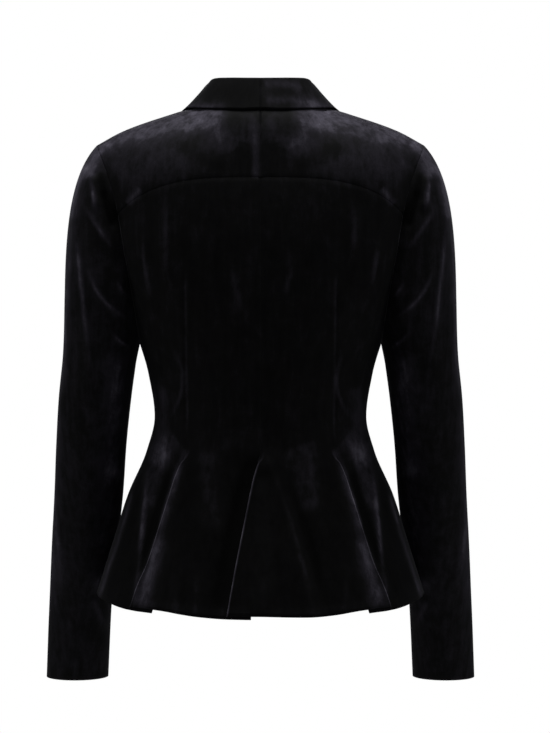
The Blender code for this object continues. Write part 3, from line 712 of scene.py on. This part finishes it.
# The corner between neck and shoulder is eased out below the collar.
for _ in range(EASE_ROUNDS):
    eased = (yoke[:, :-2] + 2 * yoke[:, 1:-1] + yoke[:, 2:]) / 4
    yoke[:, 1:-1] += (eased - yoke[:, 1:-1]) * smooth_step((1 - v) / EASE_STOPS)[..., None]
for node, sign in (("yoke_left", 1.0), ("yoke_right", -1.0)):
    face = yoke * np.array((sign, 1.0, 1.0))
    calm = smooth_step(edge_distance(face, "last") / EDGE_CALM)
    crease = crease_lift(face, BACK_CREASES) * calm
    lift = crease + seam_groove(face, ("top", "bottom", "first"))
    out = grid_normals(face) * -sign
    tone_and_painted_light = tone_with_painted_light(face, BACK_CREASES, calm)
    cloth_piece(node, face + out * lift[..., None], tone_and_painted_light, toward=(0, 1, 1))

# %% [markdown]
# ## The back and its pleats
#
# Each half of the back is one length of cloth from the yoke seam to the hem. A dart takes
# it in at the waist, and where the dart ends its cloth is let go as a knife pleat: a fold
# that turns over on itself, runs back underneath and turns again. The centre seam opens
# the same way. The row of cloth is followed across the pleat, so nothing is cut: the run
# and the drop of the fold are worked out row by row and laid on the body. At the top the
# edge is turned in and up behind the yoke, as its seam allowance is.

# %% Pleat sizes
OUTER_RADIUS, INNER_RADIUS = 0.0028, 0.0007
OUTER_LEAST, INNER_LEAST = 0.0042, 0.0020
LEAST_TURN = 1e-5  # a row that is not folded still has a turn to divide by
RETURN_LEAST, RETURN_HEM = 0.0012, 0.0240
PLEAT_CLOSED, PLEAT_CLEAR = 0.036, 0.004
CENTRE_RAMP, LIFT_SHARE, LIFT_RAMP, SIDE_RAMP = 0.060, 0.5, 0.045, 0.9
BOW_ENDS_Z = -0.220  # below this the rows no longer follow the bowed seam
UNDERARM_Z, UNDERLAYER_DROP = -0.275, 0.004
# Columns: z, dart_fold_x, centre_fold_x.
PLEAT_LINES = (
    (-0.585, 0.1475, 0.0388),
    (-0.570, 0.1420, 0.0362),
    (-0.532, 0.1298, 0.0296),
    (-0.482, 0.1140, 0.0197),
    (-0.432, 0.0980, 0.0094),
    (-0.392, 0.0840, 0.0000),
    (-0.300, 0.0850, 0.0000),
    (-0.080, 0.0850, 0.0000),
)
BACK_LEVELS = (-0.090, -0.108, -0.130, -0.160, -0.195, -0.230, -0.256, -0.269, -0.275, -0.305,
               -0.335, -0.360, -0.380, -0.392, -0.400, -0.410, -0.424, -0.442, -0.465,
               -0.500, -0.540, -0.577)
BACK_ROWS, CENTRE_COLUMNS, SIDE_COLUMNS, ARC_STEPS, RETURN_STEPS = 190, 66, 54, 8, 6
HEIGHT_ROUNDS = 4  # heights and angles depend on each other, so they are settled in rounds
pleat_line = smooth_table(PLEAT_LINES)
print("pleats", round(1000 * RETURN_HEM), "mm deep at the hem")


# %% The path of a pleat across the cloth
def pleat_path(turn, depth, second_fold):
    """Face of a knife pleat across the cloth: run and drop from its fold line, row by row."""
    turn = np.maximum(np.asarray(turn, float), LEAST_TURN)[:, None]
    depth = np.asarray(depth, float)[:, None]
    outer = np.maximum(OUTER_RADIUS, OUTER_LEAST / turn)
    k = np.linspace(0, 1, ARC_STEPS + 1)[None, :]
    back = np.linspace(0, 1, RETURN_STEPS + 1)[None, 1:]
    run = [outer * np.sin(turn * k)]
    drop = [outer * (1 - np.cos(turn * k))]
    run.append(run[0][:, -1:] + depth * np.cos(turn) * back)
    drop.append(drop[0][:, -1:] + depth * np.sin(turn) * back)
    if second_fold:
        inner = np.maximum(INNER_RADIUS, INNER_LEAST / turn)
        k = k[:, 1:]
        run.append(run[1][:, -1:] + inner * (np.sin(turn) - np.sin(turn * (1 - k))))
        drop.append(drop[1][:, -1:] + inner * (np.cos(turn * (1 - k)) - np.cos(turn)))
    quarter = np.minimum(turn, np.pi / 2)
    fold = outer * np.sin(quarter) + np.where(turn < np.pi / 2, depth * np.cos(turn), 0)
    return np.hstack(run) - fold, np.hstack(drop)


closed_drop = pleat_path([np.pi], [RETURN_HEM], True)[1]
print("a closed pleat steps down by", round(1000 * float(closed_drop[0, -1]), 1), "mm")


# %% The rows of the back, from the yoke seam to the hem
def level_heights(levels, angle, drop, f):
    """Heights of a back panel's rows: along the yoke seam above, along the hem below."""
    base = levels[:, None]
    top = smooth_step((base - BOW_ENDS_Z) / (YOKE_CENTRE_Z - BOW_ENDS_Z))
    low = np.clip((PLEAT_TOP_Z - base) / (PLEAT_TOP_Z - base[-1]), 0, 1)
    z = base + top * (yoke_seam_z(f) - YOKE_CENTRE_Z) + low ** 2 * (hem_z(angle) - base[-1])
    return z - UNDERLAYER_DROP * low * drop / (2 * OUTER_RADIUS)


def side_end(z):
    """Angle at which a back row ends, on the armhole or on the side seam."""
    return np.where(z > UNDERARM_Z, angle_at(armhole_edge(z)[0], z), np.pi / 2)


def back_rows(side):
    """Angle, drop and height along each row of one half of the back, and where its folds are."""
    levels = spaced(BACK_LEVELS, BACK_ROWS)
    dart_x, centre_x = pleat_line(levels)
    turn = np.pi * smooth_step((PLEAT_TOP_Z - levels) / PLEAT_CLOSED)
    depth = RETURN_LEAST + (RETURN_HEM - RETURN_LEAST) * peplum_share(levels)
    dart = angle_at(dart_x, levels)[:, None]
    centre = angle_at(centre_x, levels)[:, None]
    near = run_per_angle(np.zeros_like(levels), levels)[:, None]
    over_run, over_drop = pleat_path(turn, depth, False)
    if side < 0:
        start = -centre - over_run[:, ::-1] / near
        start_drop = over_drop[:, ::-1]
    else:
        start = centre + over_run[:, -1:] / near
        start_drop = over_drop[:, -1:]
    start_drop = start_drop - LIFT_SHARE * over_drop[:, -1:]
    fold_run, fold_drop = pleat_path(turn, depth, True)
    fold_drop = fold_drop - LIFT_SHARE * fold_drop[:, -1:]
    fold = dart + fold_run / run_per_angle(dart[:, 0], levels)[:, None]
    k = np.linspace(0, 1, CENTRE_COLUMNS + 1)[None, 1:-1]
    centre_angle = start[:, -1:] + (fold[:, :1] - start[:, -1:]) * k
    hold = PLEAT_CLEAR if side > 0 else depth[:, None] + 2 * PLEAT_CLEAR
    past = (centre_angle - side * centre) * near - hold
    centre_drop = start_drop[:, -1:] * (1 - smooth_step(past / CENTRE_RAMP))
    short = (fold[:, :1] - centre_angle) * near - depth[:, None] - PLEAT_CLEAR
    centre_drop = centre_drop + fold_drop[:, :1] * (1 - smooth_step(short / LIFT_RAMP))
    k = np.linspace(0, 1, SIDE_COLUMNS + 1)[None, 1:]
    end = side_end(levels)[:, None]
    z = levels[:, None]
    for _ in range(HEIGHT_ROUNDS):
        side_angle = fold[:, -1:] + (end - fold[:, -1:]) * k
        past = (side_angle - dart) / (end - dart)
        side_drop = fold_drop[:, -1:] * (1 - smooth_step(past / SIDE_RAMP))
        angle = np.hstack((start, centre_angle, fold, side_angle))
        drop = np.hstack((start_drop, centre_drop, fold_drop, side_drop))
        f = np.clip(np.abs(body_point(angle, z)[..., 0]) / armhole_edge(z + 0 * angle)[0], 0, 1)
        z = level_heights(levels, angle, drop, f)
        end = side_end(z[:, -1])[:, None]
    seam_ends = start.shape[1]
    fold_starts = seam_ends + centre_angle.shape[1]
    return angle, drop, z, dart_x[:, None], turn[:, None], seam_ends, fold_starts


print("back rows run from", BACK_LEVELS[0], "to", BACK_LEVELS[-1], "m")

# %% One half of the back, with its dart, seams and creases
DART_TOP_Z, DART_DEPTH, DART_WIDTH, DART_FADE = -0.185, 0.0010, 0.0026, 0.05
# Columns: rise, inward. Two rows go up behind the yoke, and one just under the seam keeps
# the turn of the cloth crisp.
YOKE_ALLOWANCE = ((0.0050, 0.0022), (0.0, 0.0022), (-0.0003, 0.0))
HIDDEN_ROWS = 2
print("darts", round(1000 * (DART_TOP_Z - PLEAT_TOP_Z)), "mm long")


def back_panel(side):
    """Face and tone, with its painted light and shade, of one half of the back."""
    angle, drop, z, dart_x, turn, seam_ends, fold_starts = back_rows(side)
    face = body_point(side * angle, z, -drop)
    calm = smooth_step(edge_distance(face, "last") / EDGE_CALM)
    crease = crease_lift(face, BACK_CREASES) * calm
    lift = crease + seam_groove(face, ("top",))
    flat_seam = smooth_step((z - PLEAT_TOP_Z) / PLEAT_CLOSED)
    lift = lift + seam_groove(face, ("first",)) * flat_seam
    shown = smooth_step((DART_TOP_Z - z) / DART_FADE) * flat_seam
    from_dart = np.abs(face[..., 0]) - dart_x
    lift = lift - DART_DEPTH * shown * np.exp(-(from_dart / DART_WIDTH) ** 2)
    tone_and_painted_light = tone_with_painted_light(face, BACK_CREASES, calm)
    # A painted highlight runs along the edge of each pleat fold as it turns over.
    crown = FOLD_PAINTED_HIGHLIGHT * np.sin(np.linspace(0, np.pi, ARC_STEPS + 1))
    painted_fold_highlight = crown * (turn / np.pi) ** FOLD_SHOWS
    tone_and_painted_light[:, fold_starts:fold_starts + ARC_STEPS + 1] += painted_fold_highlight
    if side < 0:
        tone_and_painted_light[:, seam_ends - ARC_STEPS - 1:seam_ends] += painted_fold_highlight
    lift = lift - drop
    face = body_point(side * angle, z, lift)
    turned = [body_point(side * angle[0], z[0] + rise, lift[0] - inward)
              for rise, inward in YOKE_ALLOWANCE]
    face = np.concatenate((turned[:HIDDEN_ROWS], face[:1], turned[HIDDEN_ROWS:], face[1:]))
    hidden = np.full((HIDDEN_ROWS, tone_and_painted_light.shape[1]), CALM_BLOOM)
    return face, np.vstack((hidden, tone_and_painted_light[:1], tone_and_painted_light))


# %% Sew the backs
for node, side in (("back_left", 1.0), ("back_right", -1.0)):
    cloth_piece(node, *back_panel(side), toward=(0, 1, 0))

# %% [markdown]
# ## The fronts
#
# The fronts are not in the picture, so they are finished plainly: one panel from the
# shoulder to the hem on each side, meeting edge to edge below the break of the collar.
# Above the chest the panel is stretched between the body and the shoulder seam, as the
# yoke is, and below it follows the body.

# %% Front panel
CHEST_Z, BREAK_Z, BREAK_NOTCH, LAPEL_RISE = -0.131, -0.300, 0.0055, 0.008
FRONT_LEVELS = (-0.131, -0.160, -0.195, -0.230, -0.256, -0.269, -0.275, -0.284, -0.292, -0.300,
                -0.330, -0.360, -0.392, -0.425, -0.465, -0.515, -0.568)
FRONT_COLUMNS, FRONT_UPPER_ROWS, FRONT_LOWER_ROWS = 84, 48, 130
EDGE_CURVE, FRONT_PULL = 1.15, 0.9
SHOULDER_TURN = 0.045  # the painted shoulder highlight ends this far in front of its seam
FRONT_CROWN = 0.45  # painted highlights on creases in front are weaker than those behind
FRONT_CREASES = (
    (104, -285, 95, -320, 96, -352, 6.0, 1.4),
    (126, -300, 112, -335, 110, -365, 6.0, 1.2),
    (60, -330, 66, -352, 78, -372, 6.0, 1.0),
    (92, -405, 104, -480, 112, -560, 9.0, 1.6),
    (48, -410, 52, -480, 56, -560, 9.0, 1.4),
    (150, -190, 132, -215, 112, -228, 6.0, 1.4),
)


def front_edge_x(z):
    """Half width of the front edge: closed below the break, opening to the side of the neck."""
    share = np.clip((z - BREAK_Z) / (SHOULDER[0][3] - BREAK_Z), 0, 1)
    notch = BREAK_NOTCH * smooth_step((z - BREAK_Z) / LAPEL_RISE)
    return notch + (SHOULDER[0][1] - BREAK_NOTCH) * share ** EDGE_CURVE


def front_upper_point(u, v):
    """Front above the chest: u from the armhole to the front edge, v from chest to shoulder."""
    u, v = np.broadcast_arrays(np.asarray(u, float), np.asarray(v, float))
    z = np.full_like(u, CHEST_Z)
    arm = angle_at(armhole_edge(z)[1], z, behind=False)
    angle = arm + (angle_at(front_edge_x(z), z, behind=False) - arm) * u
    low, high = body_point(angle, z), shoulder_point(1 - u)
    reach = np.sqrt(((high - low) ** 2).sum(axis=-1, keepdims=True))
    pull = unit(np.stack((0.0 * u, 1.0 + 0.0 * u, 0.0 * u - SHOULDER_TILT), axis=-1))
    return hermite(low, rise_along(angle, z) * reach, high, pull * reach * FRONT_PULL, v[..., None])


def front_lower_point(u, z):
    """Front below the chest: u from the armhole or side seam to the front edge."""
    arm = np.where(z > UNDERARM_Z, angle_at(armhole_edge(z)[1], z, behind=False), np.pi / 2)
    edge = angle_at(front_edge_x(z), z, behind=False)
    return body_point(arm + (edge - arm) * u, z)


print("the fronts meet from", round(-1000 * BREAK_Z), "mm below the neck base")

# %% Sew the fronts
u = np.linspace(0, 1, FRONT_COLUMNS + 1)[None, :]
chest = spaced(FRONT_LEVELS, FRONT_LOWER_ROWS)[:, None]
low_share = np.clip((PLEAT_TOP_Z - chest) / (PLEAT_TOP_Z - chest[-1]), 0, 1)
chest = chest + low_share ** 2 * (hem_z(np.pi / 2 * (1 + u)) - chest[-1])
lower = front_lower_point(u + 0 * chest, chest + 0 * u)
upper_v = 1 - np.linspace(0, 1, FRONT_UPPER_ROWS + 1)[:-1, None] ** ROW_CROWD
upper = front_upper_point(u + 0 * upper_v, upper_v + 0 * u)
front = np.concatenate((upper, lower))
calm = smooth_step(edge_distance(front, "first") / EDGE_CALM)
crease = crease_lift(front, FRONT_CREASES) * calm
lift = crease + seam_groove(front, ("top",))
# Painted light and shade strokes reach the front only up to a little in front of the shoulder seam.
shoulder = smooth_step((front[..., 1] + SHOULDER_TURN) / SHOULDER_TURN)
tone_and_painted_light = tone_with_painted_light(front, FRONT_CREASES, calm * FRONT_CROWN, shoulder)
front = front + grid_normals(front) * lift[..., None]
for node, mirrored in (("front_left", False), ("front_right", True)):
    cloth_piece(node, front, tone_and_painted_light, toward=(0, -1, 0), mirrored=mirrored)

# %% [markdown]
# ## The sleeves
#
# A sleeve is a tube that starts on the armhole seam and hangs to the wrist, swinging
# forward below the elbow as a relaxed arm does. The cap is a cubic from each point of the
# armhole to a ring at the biceps, and below that the tube is a stack of ovals. The creases
# gather at the armhole and in the bend.

# %% Sleeve sizes and creases on the side of the arm that faces forward
# Columns: z, centre_x, centre_y, half_width, half_depth.
SLEEVE_SECTIONS = (
    (-0.676, 0.2212, -0.099, 0.0372, 0.0410),
    (-0.590, 0.2162, -0.080, 0.0373, 0.0430),
    (-0.520, 0.2098, -0.058, 0.0388, 0.0460),
    (-0.449, 0.2024, -0.034, 0.0405, 0.0490),
    (-0.393, 0.1983, -0.018, 0.0411, 0.0520),
    (-0.337, 0.1931, -0.008, 0.0423, 0.0560),
    (-0.300, 0.1884, -0.004, 0.0428, 0.0580),
)
SLEEVE_FRONT_CREASES = (
    (160, -225, 178, -236, 196, -240, 5.0, 1.8),
    (158, -262, 180, -272, 200, -270, 5.0, 1.5),
    (170, -396, 192, -408, 214, -400, 6.0, 1.8),
    (168, -425, 190, -434, 212, -430, 6.0, 1.5),
    (222, -300, 226, -350, 224, -400, 7.0, 1.2),
    (190, -560, 206, -575, 226, -572, 6.0, 1.0),
)
BICEPS_Z, CUFF_Z = -0.300, -0.676
LOOP_HIGH, LOOP_LOW = 60, 90  # points along the armhole above and below the chest
SLEEVE_BEHIND, SLEEVE_BEFORE, CAP_ROWS, ARM_ROWS = 116, 58, 90, 140
SLEEVE_ROUND = SLEEVE_BEHIND + SLEEVE_BEFORE
sleeve_section = smooth_table(SLEEVE_SECTIONS)
print("sleeve", round(1000 * (SHOULDER[-1][3] - CUFF_Z)), "mm from the shoulder tip down")


# %% The armhole seam and the rings of the arm
def armhole_loop(turn):
    """Armhole seam points by sleeve angle: 0 at the shoulder tip, half a turn at the underarm."""
    z = np.linspace(YOKE_ARM_Z, UNDERARM_Z, LOOP_LOW)
    back = np.vstack((yoke_point(1.0, np.linspace(1, 0, LOOP_HIGH)),
                      body_point(angle_at(armhole_edge(z)[0], z), z)[1:]))
    z = np.linspace(CHEST_Z, UNDERARM_Z, LOOP_LOW)
    before = np.vstack((front_upper_point(0.0, np.linspace(1, 0, LOOP_HIGH)),
                        body_point(angle_at(armhole_edge(z)[1], z, behind=False), z)[1:]))
    loop = []
    for angle in turn:
        half = back if angle <= np.pi else before
        share = angle / np.pi if angle <= np.pi else 2 - angle / np.pi
        step = np.sqrt((np.diff(half, axis=0) ** 2).sum(axis=1))
        length = np.concatenate(([0], np.cumsum(step)))
        loop.append([np.interp(share * length[-1], length, half[:, i]) for i in range(3)])
    return np.array(loop)


def sleeve_ring(turn, z):
    centre_x, centre_y, half_width, half_depth = sleeve_section(z)
    return np.stack((centre_x + half_width * np.cos(turn), centre_y + half_depth * np.sin(turn),
                     z + 0 * turn), axis=-1)


around = armhole_loop(np.linspace(0, 2 * np.pi, LOOP_LOW))
step = np.sqrt((np.diff(around, axis=0) ** 2).sum(axis=1))
print("armhole", round(1000 * float(step.sum())), "mm round")

# %% The cap and the arm of the sleeve
# Slope at which the cap leaves the armhole, and how much it changes from its outer to its
# inner side.
CAP_OUT, CAP_BACK, CAP_DOWN = 0.44, 0.34, 0.78
CAP_OUT_SWING, CAP_DOWN_SWING = 0.30, 0.12
CAP_PULL, CAP_PULL_SWING, BICEPS_PULL = 0.58, 0.24, 0.85
SLOPE_STEP = 0.002  # heights this far apart give a slope
SEAM_ROW, CAP_CROWD = 0.002, 1.15  # rows crowd to the seam, and the first keeps its turn crisp
turn = np.concatenate((np.linspace(0, np.pi, SLEEVE_BEHIND + 1)[:-1],
                       np.linspace(np.pi, 2 * np.pi, SLEEVE_BEFORE + 1)[:-1]))
c, s = np.cos(turn), np.sin(turn)
pull = unit(np.stack((CAP_OUT + CAP_OUT_SWING * c, CAP_BACK * s,
                      -CAP_DOWN - CAP_DOWN_SWING * (1 - c)), axis=-1))
start = armhole_loop(turn)
ring = sleeve_ring(turn, np.full_like(turn, BICEPS_Z))
below = sleeve_ring(turn, np.full_like(turn, BICEPS_Z - SLOPE_STEP))
reach = np.sqrt(((ring - start) ** 2).sum(axis=-1, keepdims=True))
rows = [hermite(start, pull * reach * (CAP_PULL + CAP_PULL_SWING * c[:, None]), ring,
                unit(below - ring) * reach * BICEPS_PULL, t)
        for t in np.insert(np.linspace(0, 1, CAP_ROWS + 1) ** CAP_CROWD, 1, SEAM_ROW)]
rows += [sleeve_ring(turn, np.full_like(turn, z))
         for z in np.linspace(BICEPS_Z, CUFF_Z, ARM_ROWS + 1)[1:]]
sleeve = np.array(rows)
print("cap and arm in", len(rows), "rows of", SLEEVE_ROUND, "points")

# %% Sew the sleeves
TURN_OVER = 0.5  # how far the face turns between its back creases and its front ones
STROKE_WRAP = 0.35  # the strokes seen from behind reach this far round
SLEEVE_BLOOM = 0.045  # the sleeves' tone is raised a little all over
# Columns: inward, lap. At its head the sleeve turns in and laps behind the body.
SLEEVE_ALLOWANCE = ((0.0032, 0.0075), (0.0028, 0.0020), (0.0015, 0.0))
out = grid_normals(sleeve, closed=True)
out = out * np.sign((out[-1, :, 0] * c).sum())
behind = smooth_step(out[..., 1] / TURN_OVER)
before = smooth_step(-out[..., 1] / TURN_OVER)
calm = smooth_step(edge_distance(sleeve, "top") / EDGE_CALM)
lift = calm * (behind * crease_lift(sleeve, SLEEVE_CREASES)
               + before * crease_lift(sleeve, SLEEVE_FRONT_CREASES))
stroked = smooth_step((out[..., 1] + STROKE_WRAP) / TURN_OVER)
back_tone_and_light = tone_with_painted_light(sleeve, SLEEVE_CREASES, calm, stroked, SLEEVE_LIGHT_AND_SHADE, darkened_below=0.0)
front_tone_and_light = tone_with_painted_light(sleeve, SLEEVE_FRONT_CREASES, calm * FRONT_CROWN, stroked,
                        SLEEVE_LIGHT_AND_SHADE, darkened_below=0.0)
tone_and_painted_light = SLEEVE_BLOOM + (behind * back_tone_and_light + (1 - behind) * front_tone_and_light)
sleeve = sleeve + out * lift[..., None]
turned_in = unit(start.mean(axis=0) - start)
allowance = [start + turned_in * inward - np.array((lap, 0.0, 0.0))
             for inward, lap in SLEEVE_ALLOWANCE]
sleeve = np.concatenate((allowance, sleeve))
tone_and_painted_light = np.concatenate((np.full((len(allowance), SLEEVE_ROUND), CALM_BLOOM), tone_and_painted_light))
for node, mirrored in (("sleeve_left", False), ("sleeve_right", True)):
    cloth_piece(node, sleeve, tone_and_painted_light, mirrored=mirrored, closed=True)

# %% [markdown]
# ## The collar
#
# The collar stands up from the neck seam, rolls over and falls on the yoke. In front it
# runs down as a shawl lapel to the break. Each station across it is one section: up the
# stand, round the roll and down the fall, so the roll stays soft and the edge free.

# %% Collar sections
# Columns: angle, roll_in, roll_z, edge_radius, edge_z.
COLLAR_BACK = (
    (0.0, 0.0080, 0.0258, 0.0690, -0.0098),
    (15.0, 0.0085, 0.0262, 0.0705, -0.0105),
    (30.0, 0.0090, 0.0270, 0.0725, -0.0093),
    (60.0, 0.0120, 0.0285, 0.0800, -0.0056),
    (90.0, 0.0150, 0.0275, 0.0880, -0.0012),
)
# Columns: share, stand, lean_in, width.
LAPEL = (
    (0.00, 0.0318, 0.35, 0.0180),
    (0.12, 0.0240, 0.75, 0.0380),
    (0.30, 0.0100, 1.00, 0.0580),
    (0.55, 0.0050, 1.00, 0.0560),
    (0.80, 0.0030, 1.00, 0.0320),
    (1.00, 0.0012, 1.00, 0.0070),
)
WALL, NECK_GAP, REST_GAP = 0.002, 0.0017, 0.0006
REST_FADE = 3  # the wider gap at the shoulder is gone after a third of the lapel
NECK_TUCK = 0.0023  # the foot of the stand is tucked behind the neck seam
ROLL_RADIUS, ROLL_TAPER, FALL_CURVE = 0.0034, 0.18, 1.5
LAPEL_POINTS, EDGE_RUN = 121, 0.006  # points along a front row, and the run that gives its edge's way
BACK_STATIONS, FRONT_STATIONS, STAND_STEPS, ROLL_STEPS, FALL_STEPS = 44, 84, 6, 10, 18
collar_back, lapel = smooth_table(COLLAR_BACK), smooth_table(LAPEL)
print("collar", round(1000 * COLLAR_BACK[0][2]), "mm above the neck base at the centre back")


# %% One section of the collar behind
def roll_over(base, roll, away, radius):
    """Up the stand of the collar and over its roll."""
    rise = unit(roll - base)
    away = unit(away - rise * (away @ rise))
    stand = base + (roll - base) * np.linspace(0, 1, STAND_STEPS + 1)[:-1, None]
    bend = np.linspace(0, np.pi, ROLL_STEPS + 1)[:, None]
    return np.vstack((stand, roll + radius * (away * (1 - np.cos(bend)) + rise * np.sin(bend))))


def back_section(angle):
    roll_in, roll_z, edge_radius, edge_z = collar_back(angle)
    turn = math.radians(angle)
    plan = unit(np.array((math.sin(turn) * NECK_BACK, math.cos(turn) * NECK_HALF_WIDTH, 0)))
    seam = neck_point(np.array(turn))
    base = seam - plan * WALL + np.array((0, 0, NECK_GAP))
    roll = np.array((*(seam - plan * (roll_in + WALL))[:2], roll_z - ROLL_RADIUS))
    reach = edge_radius - NECK_BACK * math.cos(turn) ** 2 - NECK_HALF_WIDTH * math.sin(turn) ** 2
    edge = np.array((*(seam + plan * reach)[:2], edge_z))
    over = roll_over(base, roll, plan, ROLL_RADIUS)
    over[0, 2] -= NECK_TUCK
    down = np.linspace(0, 1, FALL_STEPS + 1)[1:, None]
    return np.vstack((over, over[-1] + (edge - over[-1]) * down))


print("a section of the collar has", len(back_section(0.0)), "points")


# %% One section of the lapel
def front_face(u, z):
    """Front face at a share u across the row whose front edge has the height z."""
    if z >= CHEST_Z:
        return front_upper_point(u, (z - CHEST_Z) / (SHOULDER[0][3] - CHEST_Z))
    return front_lower_point(u, np.full_like(u, z))


def lapel_section(share):
    """Across the lapel: a short stand at the front edge, the roll, then the fall on the front."""
    stand, lean_in, width = lapel(share)
    z = SHOULDER[0][3] + (BREAK_Z + LAPEL_RISE - SHOULDER[0][3]) * share
    u = np.linspace(0, 1, LAPEL_POINTS)
    row = front_face(u, z)
    above = front_face(u, min(z + SLOPE_STEP, SHOULDER[0][3]))
    below = front_face(u, z - SLOPE_STEP)
    normal = unit(np.cross(above - below, np.gradient(row, axis=0)))
    step = np.sqrt((np.diff(row, axis=0) ** 2).sum(axis=1))
    length = np.concatenate(([0], np.cumsum(step)))

    def place(back, lift):
        at = length[-1] - back
        return np.array([np.interp(at, length, row[:, i] + lift * normal[:, i]) for i in range(3)])

    seam = place(0.0, 0.0)
    inward = unit(seam - place(EDGE_RUN, 0.0))
    rise = unit(inward * lean_in + np.array((0, 0, 1.0)) * (1 - lean_in))
    base = place(0.0, -WALL) + inward * NECK_GAP
    radius = ROLL_RADIUS * (1 - ROLL_TAPER * share ** 4)
    over = roll_over(base, base + rise * stand, normal[-1], radius)
    over[0] -= inward * NECK_TUCK
    rest = WALL + REST_GAP * (1 + max(0.0, 1 - REST_FADE * share))
    lift = (over[-1] - seam) @ normal[-1]
    fall = [place(width * k, rest + (lift - rest) * (1 - k) ** FALL_CURVE)
            for k in np.linspace(0, 1, FALL_STEPS + 1)[1:]]
    return np.vstack((over, fall))


print("the lapel ends", round(-1000 * (BREAK_Z + LAPEL_RISE)), "mm below the neck base")

# %% Sew the collar
SHOULDER_EASE, COLLAR_ROUNDS = 7, 24  # stations that the easing reaches, and its rounds
collar = np.array([back_section(angle) for angle in np.linspace(0, 90, BACK_STATIONS + 1)]
                  + [lapel_section(share) for share in np.linspace(0, 1, FRONT_STATIONS + 1)[1:]])
# The shoulder station joins two kinds of section, so its neighbours are eased together.
near = np.exp(-((np.arange(len(collar)) - BACK_STATIONS) / SHOULDER_EASE) ** 2)[1:-1, None, None]
for _ in range(COLLAR_ROUNDS):
    collar[1:-1] += near * (collar[:-2] - 2 * collar[1:-1] + collar[2:]) / 4
for node, mirrored in (("collar_left", False), ("collar_right", True)):
    face = collar * np.array((-1.0 if mirrored else 1.0, 1.0, 1.0))
    # Painted light and shade strokes reach the collar only behind the shoulder seam.
    behind = smooth_step((face[..., 1] + SHOULDER_TURN) / SHOULDER_TURN)
    tone_and_painted_light = tone_with_painted_light(face, (), stroked=behind)
    cloth_piece(node, face, tone_and_painted_light, toward=(-1 if mirrored else 1, 0, 0))

# %% [markdown]
# ## Floor and light
#
# The picture is a plain studio view: a white ground and soft light from above. The pale
# shoulders and the nearly black lower back come partly from that light and partly from the
# highlights and shade painted into the tone of the cloth. A large soft lamp hangs straight
# over the jacket, two weaker ones stand at its sides, a little behind it, and one more
# keeps the front from going black. The world around is a dim grey to everything but the
# eye, which sees it white.

# %% Pale floor of matt paper
FLOOR_Z, FLOOR_HALF = -1.36, 2.4
PAPER_MM, PAPER_DARK, PAPER_LIGHT = 40.0, "#ececec", "#f4f4f4"
floor_mesh = bpy.data.meshes.new("floor")
floor_mesh.from_pydata([(-FLOOR_HALF, -FLOOR_HALF, FLOOR_Z), (FLOOR_HALF, -FLOOR_HALF, FLOOR_Z),
                        (FLOOR_HALF, FLOOR_HALF, FLOOR_Z), (-FLOOR_HALF, FLOOR_HALF, FLOOR_Z)],
                       [], [(0, 1, 2, 3)])
floor = bpy.data.objects.new("floor", floor_mesh)
bpy.context.scene.collection.objects.link(floor)
paper, tree, shader, where = start_material("matt_white_paper")
grain = add_node(tree, "ShaderNodeTexNoise", [("Vector", where)],
                 scale=per_metre(PAPER_MM), detail=3.0)
shade = add_node(tree, "ShaderNodeValToRGB", [("Fac", grain.outputs["Fac"])])
shade.color_ramp.elements[0].color = linear(PAPER_DARK)
shade.color_ramp.elements[1].color = linear(PAPER_LIGHT)
tree.links.new(shade.outputs["Color"], shader.inputs["Base Color"])
shader.inputs["Roughness"].default_value = 0.95
floor_mesh.materials.append(paper)
print("floor at", FLOOR_Z, "m")

# %% Soft lamps
LAMP_AIM = (0.0, 0.05, -0.25)
# Columns: name, place, size, power.
LAMPS = (
    ("overhead", (0.0, 0.0, 1.7), 1.6, 36.0),
    ("left_side", (2.2, 0.9, 0.0), 1.2, 8.0),
    ("right_side", (-2.2, 0.9, 0.0), 1.2, 8.0),
    ("before", (0.0, -2.4, 0.6), 1.6, 9.0),
)
for name, place, size, power in LAMPS:
    lamp = bpy.data.lights.new(name, "AREA")
    lamp.shape, lamp.size, lamp.energy = "DISK", size, power
    holder = bpy.data.objects.new(name, lamp)
    holder.location = place
    aim = np.array(LAMP_AIM) - np.array(place)
    yaw, level = math.atan2(aim[1], aim[0]), math.hypot(aim[0], aim[1])
    holder.rotation_euler = (math.pi / 2 + math.atan2(aim[2], level), 0, yaw - math.pi / 2)
    bpy.context.scene.collection.objects.link(holder)
print("lamps:", [row[0] for row in LAMPS])

# %% The world: white to the eye, dim grey to everything else
WORLD_GREY, WORLD_WHITE, WORLD_DIM = "#e7e7ea", "#ffffff", 0.012
world = bpy.data.worlds.new("studio")
world.use_nodes = True
tree = world.node_tree
eye = add_node(tree, "ShaderNodeLightPath")
dim = tree.nodes["Background"]
dim.inputs["Color"].default_value = linear(WORLD_GREY)
dim.inputs["Strength"].default_value = WORLD_DIM
white = add_node(tree, "ShaderNodeBackground", color=linear(WORLD_WHITE), strength=1.0)
sky = add_node(tree, "ShaderNodeMixShader", [(0, eye.outputs["Is Camera Ray"]),
                                             (1, dim.outputs[0]), (2, white.outputs[0])])
tree.links.new(sky.outputs[0], tree.nodes["World Output"].inputs["Surface"])
bpy.context.scene.world = world
bpy.context.scene.view_settings.view_transform = "Standard"
print("world strength", WORLD_DIM)

# %% [markdown]
# ## The cut
#
# A sheet of cloth keeps its area, so each piece states the size it was cut to: the width
# and length of its pattern piece and its flat area. The cloth is measured against it.

# %% State the cut, and write the sizes
# Columns: width, length and flat area in metres, how it is held, and what it rests on.
for node, piece in made.items():
    kind, side = node.split("_")
